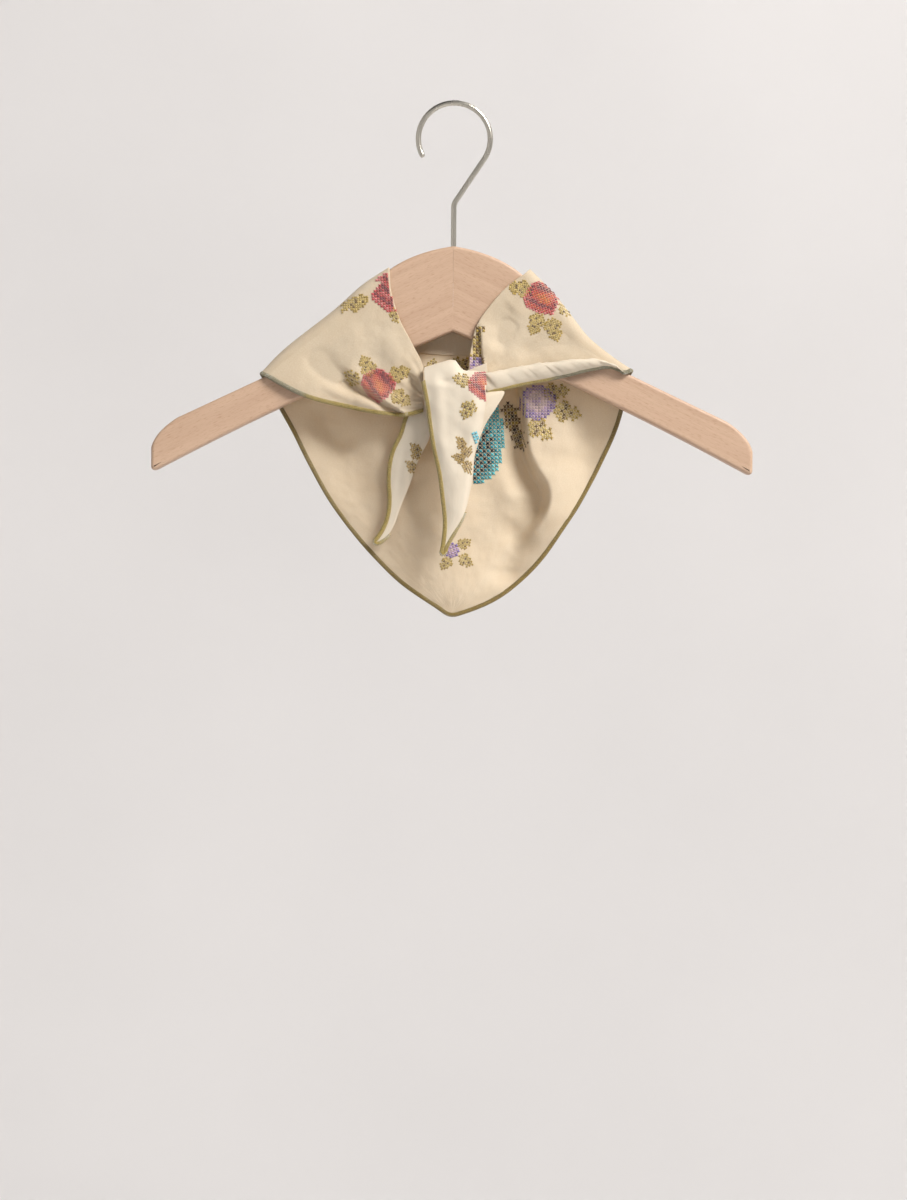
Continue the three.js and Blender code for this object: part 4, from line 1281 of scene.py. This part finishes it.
def build_cloth(grids, settings):
    points, faces, planes, rim, layers = cloth_mesh(grids, settings.turned_in, settings.thickness / MM)
    piece = new_piece("kerchief_cloth", points, faces.tolist(), voile())
    layer = piece.data.uv_layers.new(name="cloth")
    layer.uv.foreach_set("vector", planes.reshape(-1).astype(np.float32))
    # Whitening per point of both skins: partly real double layers, partly painted light on the band and the
    # tails.
    double_and_painted_light = np.repeat(np.tile(layers, 2)[:, None], 4, 1).astype(np.float32)
    piece.data.attributes.new("layers", "FLOAT_COLOR", "POINT").data.foreach_set("color", double_and_painted_light.reshape(-1))
    half = len(points) // 2
    ends = np.zeros(len(piece.data.edges) * 2, int)
    piece.data.edges.foreach_get("vertices", ends)
    ends = ends.reshape(-1, 2)
    on_rim = np.isin(ends % half, list(rim)).all(1) & (ends[:, 0] // half == ends[:, 1] // half)
    sharp = piece.data.attributes.new("sharp_edge", "BOOLEAN", "EDGE")
    sharp.data.foreach_set("value", on_rim)
    finish_piece(piece, "voile", "kerchief")


def hem_rows(grids):
    """Each hem: its CAD node, edge points, their neighbours inside the cloth, its tip and its colouring."""
    left, right, panel = grids["left_shoulder"], grids["right_shoulder"], grids["panel"][FOLD_STEPS:]
    runs = [
        (grids["left_flap"][::-1, -1], grids["left_flap"][::-1, -2]),
        (left[-1, ::-1], left[-2, ::-1]),
        (panel[:, 0], panel[:, 1]),
        (panel[::-1, -1], panel[::-1, -2]),
        (right[-1], right[-2]),
        (grids["band"][:, 0], grids["band"][:, 2]),
    ]
    outer = [np.vstack([run[k] for run in runs]) for k in (0, 1)]
    front = tail_edges(grids["front_tail"], FRONT_HEM_FROM, FRONT_TIP_FROM)
    side = tail_edges(grids["side_tail"], SIDE_HEM_FROM, SIDE_TIP_FROM)
    return {
        "hem_thread_outer": ("hem_outer", *outer, None, outer_tint),
        "hem_thread_front_tail": ("hem_front_tail", *front, tail_tint),
        "hem_thread_side_tail": ("hem_side_tail", *side, tail_tint),
    }


def tail_edges(grid, start, tip):
    """Down a tail's left edge from a row, round its point and back up the right edge to another row."""
    edge = np.vstack([grid[start:, 0], grid[:tip:-1, -1]])
    return edge, np.vstack([grid[start:, 2], grid[:tip:-1, -3]]), grid[-1, 0]


def outer_tint(points):
    """Olive along the panel, gold along the flaps and sage over the shoulders."""
    olive, gold, sage = (np.array(linear(colour)) for colour in (HEM_OLIVE, HEM_GOLD, HEM_SAGE))
    x, front = points[:, :1], smooth(-points[:, 1:2], 2, 6)
    shoulder_share = smooth(-x, 70, 76) + smooth(x, 46, 53)
    behind = olive * (1 - smooth(points[:, 2:], -160, -140)) + sage * smooth(points[:, 2:], -160, -140)
    ahead = gold * (1 - shoulder_share) + sage * shoulder_share
    return behind * (1 - front) + ahead * front


def tail_tint(points):
    return np.tile(linear(HEM_GOLD), (len(points), 1))


def hem_frames(edge, inside, radius):
    """Evenly spaced places along a hem, with its directions outward and along."""
    keep = np.concatenate([[True], np.linalg.norm(np.diff(edge, axis=0), axis=1) > LEAST_STEP])
    edge, inside = edge[keep], inside[keep]
    tangent = unit(np.gradient(edge, axis=0))
    outward = edge - inside
    outward = unit(outward - (outward * tangent).sum(1, keepdims=True) * tangent)
    kernel = np.ones(SMOOTHING) / SMOOTHING
    margin = ((SMOOTHING // 2, SMOOTHING // 2), (0, 0))
    padded = np.pad(outward, margin, mode="edge")
    outward = unit(np.stack([np.convolve(column, kernel, "valid") for column in padded.T], 1))
    middle = edge + outward * radius * HEM_SEAT
    padded = np.pad(middle, margin, mode="reflect", reflect_type="odd")
    middle = np.stack([np.convolve(column, kernel, "valid") for column in padded.T], 1)
    walked = np.concatenate([[0], np.cumsum(np.linalg.norm(np.diff(middle, axis=0), axis=1))])
    return middle, outward, walked


def hem_at(places, middle, outward, walked):
    points = np.stack([np.interp(places, walked, column) for column in middle.T], 1)
    outs = unit(np.stack([np.interp(places, walked, column) for column in outward.T], 1))
    tangent = unit(np.gradient(points, axis=0))
    outs = unit(outs - (outs * tangent).sum(1, keepdims=True) * tangent)
    return points, outs, tangent


def turns_from(first, second, third):
    """Quaternions for frames whose three axes are given."""
    frames = np.stack([first, second, third], -1)
    return np.array([Matrix(frame.tolist()).to_quaternion() for frame in frames])


def point_cloud(name, places, turns, sizes, tints):
    """Loose points with a turn, size and tint each, for shapes to be set on."""
    mesh = bpy.data.meshes.new(name)
    mesh.from_pydata((places * MM).tolist(), [], [])
    for label, kind, field, values in (
        ("turn", "QUATERNION", "value", turns),
        ("size", "FLOAT_VECTOR", "vector", sizes * MM),
        ("tint", "FLOAT_COLOR", "color", tints),
    ):
        values = values.astype(np.float32).reshape(-1)
        mesh.attributes.new(label, kind, "POINT").data.foreach_set(field, values)
    cloud = bpy.data.objects.new(name, mesh)
    bpy.context.scene.collection.objects.link(cloud)
    return cloud


def repeat_tree():
    """Geometry Nodes: sets a shape on every point, turned, sized and tinted by the point's own attributes."""
    tree = bpy.data.node_groups.new("repeat_on_points", "GeometryNodeTree")
    for label, kind in (("Geometry", "Geometry"), ("Shape", "Object"), ("Thread", "Material")):
        tree.interface.new_socket(label, in_out="INPUT", socket_type=f"NodeSocket{kind}")
    tree.interface.new_socket("Geometry", in_out="OUTPUT", socket_type="NodeSocketGeometry")
    given = node(tree, "NodeGroupInput")
    shape = node(tree, "GeometryNodeObjectInfo", {"Object": given.outputs["Shape"]})
    turn = node(tree, "GeometryNodeInputNamedAttribute", {"Name": "turn"}, data_type="QUATERNION")
    size = node(tree, "GeometryNodeInputNamedAttribute", {"Name": "size"}, data_type="FLOAT_VECTOR")
    inputs = {
        "Points": given.outputs["Geometry"],
        "Instance": shape.outputs["Geometry"],
        "Rotation": turn.outputs[0],
        "Scale": size.outputs[0],
    }
    placed = node(tree, "GeometryNodeInstanceOnPoints", inputs)
    real = node(tree, "GeometryNodeRealizeInstances", {"Geometry": placed.outputs[0]})
    inputs = {"Geometry": real.outputs[0], "Material": given.outputs["Thread"]}
    coloured = node(tree, "GeometryNodeSetMaterial", inputs)
    node(tree, "NodeGroupOutput", {0: coloured.outputs[0]})
    return tree


def repeat_on(cloud, shape, material):
    """Turns a cloud of points into a plain mesh of the shape repeated on them."""
    tree = bpy.data.node_groups.get("repeat_on_points") or repeat_tree()
    modifier = cloud.modifiers.new("repeat", "NODES")
    modifier.node_group = tree
    sockets = {item.name: item.identifier for item in tree.interface.items_tree if item.in_out == "INPUT"}
    modifier[sockets["Shape"]] = shape
    modifier[sockets["Thread"]] = material
    graph = bpy.context.evaluated_depsgraph_get()
    made = bpy.data.meshes.new_from_object(cloud.evaluated_get(graph))
    cloud.modifiers.remove(modifier)
    cloud.data = made
    made.name = cloud.name
    for attribute in [a.name for a in made.attributes if a.name in ("turn", "size")]:
        made.attributes.remove(made.attributes[attribute])
    return cloud


def wrap_shape(sides=11, section=4):
    """One turn of hem thread round a hem one unit wide, slanting along it."""
    angles = np.linspace(0, 2 * math.pi, sides, endpoint=False)
    path = np.stack([np.cos(angles), np.sin(angles) * WRAP_HEIGHT, WRAP_SLANT * np.cos(angles)], 1)
    outward = unit(np.stack([np.cos(angles), np.sin(angles), 0 * angles], 1))
    along = np.tile((0.0, 0.0, 1.0), (sides, 1))
    turns = np.linspace(0, 2 * math.pi, section, endpoint=False)
    through, across = WRAP_THREAD
    rings = [path + through * math.cos(t) * outward + across * math.sin(t) * along for t in turns]
    points = np.stack(rings, 1)
    faces = []
    for i in range(sides):
        j = (i + 1) % sides
        for k in range(section):
            m = (k + 1) % section
            faces.append((i * section + k, i * section + m, j * section + m, j * section + k))
    return new_piece("wrap_shape", points.reshape(-1, 3) / MM, faces, None)


def stitch_shape(section=5):
    """A cross stitch one unit wide: two arched threads, the second over the first."""
    steps = np.array([-0.56, -0.22, 0.22, 0.56])
    width = np.array([0.35, 1.0, 1.0, 0.35])[:, None]
    points, faces = [], []
    for layer, direction in enumerate(((1, 1), (1, -1))):
        flat = unit((*direction, 0))
        side = np.array((-flat[1], flat[0], 0))
        height = (CROSS_FOOT + CROSS_LIFT * layer) + np.array([-0.08, 0.12, 0.12, -0.08])
        path = steps[:, None] * flat * CROSS_REACH + height[:, None] * np.array((0, 0, 1.0))
        through = np.array((0, 0, THREAD_THROUGH))
        made, tube_faces = tube(path, side * THREAD_ACROSS * width, through * width, section)
        faces += [tuple(k + layer * len(made) for k in face) for face in tube_faces]
        points.append(made)
    return new_piece("stitch_shape", np.vstack(points) / MM, faces, None)


def build_hems(grids, settings):
    """The merrowed hems: a core with slanting turns of thread round it."""
    thread = thread_material("hem_thread", 0.35, 0.6)
    wrap = wrap_shape()
    radius = settings.width / 2 / MM
    for name, (cad_node, edge, inside, tip, tint) in hem_rows(grids).items():
        middle, outward, walked = hem_frames(edge, inside, radius)
        places = np.arange(0, walked[-1], settings.pitch / MM)
        points, outs, tangent = hem_at(places, middle, outward, walked)
        facing = np.cross(tangent, outs)
        width = np.ones((len(points), 1))
        if tip is not None:
            turned = np.linalg.norm(points - tip, axis=1).argmin()
            width[turned:, 0] = np.linspace(1.0, TIP_WIDTH, len(points) - turned)
            points = points - outs * radius * HEM_SEAT * (1 - width)
        sizes = radius * WRAP_REACH * np.repeat(width, 3, 1)
        cloud = point_cloud(name, points, turns_from(outs, facing, tangent), sizes, tint(points))
        piece = repeat_on(cloud, wrap, thread)
        piece.data.polygons.foreach_set("use_smooth", [True] * len(piece.data.polygons))
        reach = width * radius
        core = tube(points, outs * reach * CORE_ACROSS, facing * reach * CORE_THROUGH, CORE_SIDES)
        add_core(piece, *core, np.repeat(tint(points), CORE_SIDES, 0))
        finish_piece(piece, "hem_thread", cad_node)
    bpy.data.objects.remove(wrap)


def add_core(piece, points, faces, tints):
    """Adds the hem's core to its wraps, darkened as painted shade where it lies between the turns."""
    mesh = bmesh.new()
    mesh.from_mesh(piece.data)
    layer = mesh.verts.layers.float_color["tint"]
    vertices = [mesh.verts.new(point) for point in points * MM]
    for vertex, tint in zip(vertices, tints):
        vertex[layer] = tint * CORE_PAINTED_SHADE
    for face in faces:
        mesh.faces.new([vertices[k] for k in face]).smooth = True
    bmesh.ops.recalc_face_normals(mesh, faces=mesh.faces)
    mesh.to_mesh(piece.data)
    mesh.free()


def surface_tree(grids, name):
    """The surface that a motif is worked on; a flap's goes on over the front of its shoulder."""
    found = [grids[name]]
    if name.endswith("flap"):
        found.append(grids[name.replace("flap", "shoulder")][:, ROUND_STEPS // 2 :])
    points, cells, _, _ = merge_grids([(grid, False, 0.0) for grid in found])
    return BVHTree.FromPolygons([Vector(point) for point in points], cells.tolist())


def chart_cells(chart, centre, turn, pitch):
    """Each stitch of a chart as its letter and its place seen from the front."""
    rows, columns = len(chart), max(len(row) for row in chart)
    cos, sin = math.cos(math.radians(turn)), math.sin(math.radians(turn))
    for r, row in enumerate(chart):
        for c, letter in enumerate(row):
            if letter == ".":
                continue
            across = (c - (columns - 1) / 2) * pitch
            up = ((rows - 1) / 2 - r) * pitch
            yield letter, centre[0] + across * cos - up * sin, centre[1] + across * sin + up * cos


def stitch_points(grids, seed):
    """Where every stitch sits: place, axes, size and tint, by the letter's slot."""
    trees = {name: surface_tree(grids, name) for name in {motif[0] for motif in MOTIFS}}
    chance = np.random.default_rng(seed)
    found = {slot: [] for slot in SLOTS}
    for surface, chart, centre, turn, pitch in MOTIFS:
        for letter, x, z in chart_cells(chart, centre, turn, pitch):
            place, normal, _, _ = trees[surface].ray_cast(Vector((x, LOOK_FROM, z)), Vector((0, 1, 0)))
            if place is None:
                continue
            normal = np.array(normal if normal.y < 0 else -normal)
            if normal[1] > EDGE_ON:
                continue
            slot = next(slot for slot, letters in SLOTS.items() if letter in letters)
            colour = np.array(linear(THREADS[letter])) * (1 + SHADE_SPREAD * chance.standard_normal())
            wobble = math.radians(turn + chance.normal(0, TURN_SPREAD))
            across = np.array((math.cos(wobble), 0, math.sin(wobble)))
            stretched = across - normal * (across @ normal)
            reach = np.linalg.norm(stretched)
            across = stretched / reach
            size = np.array((pitch / max(reach, LEAST_REACH), pitch, pitch)) * OVERLAP
            sides = [(normal, size, colour)]
            if surface == "panel":
                sides = [(-normal, size, colour)]
                if z < wood_low(x) - 1:
                    sides.append((normal, size * (1.0, 1.0, WRONG_SIDE_HEIGHT), colour * WRONG_SIDE_SHADE))
            for facing, extent, tint in sides:
                up = np.cross(facing, across)
                spot = np.array(place) + facing * (VOILE / 2 + 0.02)
                tint = np.clip(tint, 0, 1)
                tint[3] = 1
                found[slot].append((spot, (across, up, facing), extent, tint))
    return found


def build_stitches(grids, settings):
    shape = stitch_shape()
    for slot, stitches in stitch_points(grids, settings.seed).items():
        places, frames, sizes, tints = (np.array(values) for values in zip(*stitches))
        turns = turns_from(frames[:, 0], frames[:, 1], frames[:, 2])
        sizes = sizes * (settings.fullness, settings.fullness, 1)
        cloud = point_cloud(slot.replace("thread", "stitches"), places, turns, sizes, tints)
        piece = repeat_on(cloud, shape, thread_material(slot, 0.3, 0.55))
        piece.data.polygons.foreach_set("use_smooth", [True] * len(piece.data.polygons))
        finish_piece(piece, slot)
    bpy.data.objects.remove(shape)


def build_stage(settings):
    """A pale floor that curves up into a wall all round, soft lamps and the camera."""
    profile = [(FLOOR_INNER, 0.0)]
    for angle in np.linspace(0, math.pi / 2, COVE_STEPS):
        height = COVE_RADIUS - COVE_RADIUS * math.cos(angle)
        profile.append((FLOOR_FLAT + COVE_RADIUS * math.sin(angle), height))
    profile.append((FLOOR_FLAT + COVE_RADIUS, WALL_TOP))
    turns = np.linspace(0, 2 * math.pi, FLOOR_STEPS, endpoint=False)
    points = [(r * math.cos(t), r * math.sin(t), z - settings.floor_drop) for r, z in profile for t in turns]
    count = len(turns)
    faces = [
        (i * count + k, (i + 1) * count + k, (i + 1) * count + (k + 1) % count, i * count + (k + 1) % count)
        for i in range(len(profile) - 1)
        for k in range(count)
    ]
    faces.append(tuple(range(count)))
    material, tree = new_material("pale_plaster")
    mottled = noise_at(tree, place_in_mm(tree, 0.0, PLASTER_MOTTLE))
    base = colour_mix(tree, shift(tree, mottled, 0.3, 0.7), linear("#E6E5E5"), linear("#E1E0E0"))
    shader = node(tree, "ShaderNodeBsdfPrincipled", {"Base Color": base, "Roughness": 0.9})
    node(tree, "ShaderNodeOutputMaterial", {0: shader.outputs[0]})
    floor = new_piece("studio_floor", np.array(points) / MM, faces, material)
    for name, place, aim, size, power in LAMPS:
        lamp = bpy.data.lights.new(name, "AREA")
        lamp.size = size
        lamp.energy = getattr(settings, power)
        lamp.color = linear("#FFFBF7")[:3]
        made = bpy.data.objects.new(name, lamp)
        made.location = place
        made.rotation_euler = (Vector(aim) - Vector(place)).to_track_quat("-Z", "Y").to_euler()
        bpy.context.scene.collection.objects.link(made)
    world = bpy.data.worlds.new("studio_world")
    world.use_nodes = True
    world.node_tree.nodes["Background"].inputs[0].default_value = linear("#F1F0F2")
    world.node_tree.nodes["Background"].inputs[1].default_value = settings.ambient
    bpy.context.scene.world = world
    bpy.context.scene.view_settings.view_transform = "Standard"
    camera = bpy.data.objects.new("camera", bpy.data.cameras.new("camera"))
    camera.data.lens = CAMERA_LENS
    camera.data.sensor_width = CAMERA_SENSOR
    camera.location = (CAMERA_ROLL * ROLL_HEIGHT, -CAMERA_AWAY, CAMERA_HEIGHT)
    level = Matrix.Rotation(math.pi / 2, 3, "X")
    camera.rotation_euler = (Matrix.Rotation(CAMERA_ROLL, 3, "Y") @ level).to_euler()
    bpy.context.scene.collection.objects.link(camera)
    bpy.context.scene.camera = camera


class HangerSettings(bpy.types.PropertyGroup):
    wire_sides: bpy.props.IntProperty(
        name="Wire sides", description="Facets round the hook's wire", default=24, min=8
    )


class ClothSettings(bpy.types.PropertyGroup):
    thickness: bpy.props.FloatProperty(
        name="Thickness",
        description="Thickness of the voile",
        default=VOILE * MM,
        subtype="DISTANCE",
        unit="LENGTH",
    )
    turned_in: bpy.props.FloatProperty(
        name="Turned in",
        description="Share of the shoulder's length that is folded in along the neck",
        default=TURNED_IN,
        subtype="FACTOR",
    )


class HemSettings(bpy.types.PropertyGroup):
    pitch: bpy.props.FloatProperty(
        name="Pitch",
        description="From one turn of thread to the next",
        default=0.00055,
        subtype="DISTANCE",
        unit="LENGTH",
    )
    width: bpy.props.FloatProperty(
        name="Width",
        description="Width of the merrowed hem",
        default=0.0023,
        subtype="DISTANCE",
        unit="LENGTH",
    )


class StitchSettings(bpy.types.PropertyGroup):
    seed: bpy.props.IntProperty(name="Seed", description="Varies the stitches' shade and angle", default=7)
    fullness: bpy.props.FloatProperty(
        name="Fullness", description="How far a cross fills its square", default=1.0, subtype="FACTOR"
    )


class StageSettings(bpy.types.PropertyGroup):
    floor_drop: bpy.props.FloatProperty(
        name="Floor drop", description="Floor below the hook", default=1.5, subtype="DISTANCE", unit="LENGTH"
    )
    key_power: bpy.props.FloatProperty(
        name="Key", description="Power of the main lamp", default=118.0, unit="POWER"
    )
    fill_power: bpy.props.FloatProperty(
        name="Fill", description="Power of the fill lamp", default=2.0, unit="POWER"
    )
    wall_power: bpy.props.FloatProperty(
        name="Wall", description="Power of the lamp on the wall", default=53.0, unit="POWER"
    )
    ambient: bpy.props.FloatProperty(
        name="Ambient", description="Strength of the light all round", default=0.14
    )


class KERCHIEF_OT_hanger(bpy.types.Operator):
    """Builds the two halves of the beech hanger"""

    bl_idname = "kerchief.hanger"
    bl_label = "Hanger"

    def execute(self, context):
        for side, name in ((-1, "beech_left"), (1, "beech_right")):
            build_arm(side, beech(name, side))
        return {"FINISHED"}


class KERCHIEF_OT_hook(bpy.types.Operator):
    """Builds the wire hook"""

    bl_idname = "kerchief.hook"
    bl_label = "Hook"

    def execute(self, context):
        build_hook(plated_wire(), context.scene.kerchief_hanger.wire_sides)
        return {"FINISHED"}


class KERCHIEF_OT_cloth(bpy.types.Operator):
    """Builds the tied cloth"""

    bl_idname = "kerchief.cloth"
    bl_label = "Cloth"

    def execute(self, context):
        build_cloth(cloth_grids(), context.scene.kerchief_cloth)
        return {"FINISHED"}


class KERCHIEF_OT_hems(bpy.types.Operator):
    """Builds the merrowed hems along the cloth's edges"""

    bl_idname = "kerchief.hems"
    bl_label = "Hems"

    def execute(self, context):
        build_hems(cloth_grids(), context.scene.kerchief_hem)
        return {"FINISHED"}


class KERCHIEF_OT_stitches(bpy.types.Operator):
    bl_idname = "kerchief.stitches"
    bl_label = "Stitches"

    def execute(self, context):
        build_stitches(cloth_grids(), context.scene.kerchief_stitches)
        return {"FINISHED"}


class KERCHIEF_OT_stage(bpy.types.Operator):
    """Builds the floor, the lamps and the camera"""

    bl_idname = "kerchief.stage"
    bl_label = "Stage"

    def execute(self, context):
        build_stage(context.scene.kerchief_stage)
        return {"FINISHED"}


OPERATORS = (
    KERCHIEF_OT_hanger,
    KERCHIEF_OT_hook,
    KERCHIEF_OT_cloth,
    KERCHIEF_OT_hems,
    KERCHIEF_OT_stitches,
    KERCHIEF_OT_stage,
)
SETTINGS = {
    "kerchief_hanger": HangerSettings,
    "kerchief_cloth": ClothSettings,
    "kerchief_hem": HemSettings,
    "kerchief_stitches": StitchSettings,
    "kerchief_stage": StageSettings,
}


class KERCHIEF_PT_panel(bpy.types.Panel):
    bl_label = "Neckerchief"
    bl_space_type = "VIEW_3D"
    bl_region_type = "UI"
    bl_category = "Neckerchief"

    def draw(self, context):
        for name, group in SETTINGS.items():
            settings = getattr(context.scene, name)
            for label in group.__annotations__:
                self.layout.prop(settings, label)
        for operator in OPERATORS:
            self.layout.operator(operator.bl_idname)


CLASSES = (*SETTINGS.values(), *OPERATORS, KERCHIEF_PT_panel)


def register():
    for one in CLASSES:
        bpy.utils.register_class(one)
    for name, group in SETTINGS.items():
        setattr(bpy.types.Scene, name, bpy.props.PointerProperty(type=group))


def unregister():
    for name in SETTINGS:
        delattr(bpy.types.Scene, name)
    for one in reversed(CLASSES):
        bpy.utils.unregister_class(one)


def main():
    register()
    for operator in OPERATORS:
        group, name = operator.bl_idname.split(".")
        getattr(getattr(bpy.ops, group), name)()


if __name__ == "__main__":
    main()
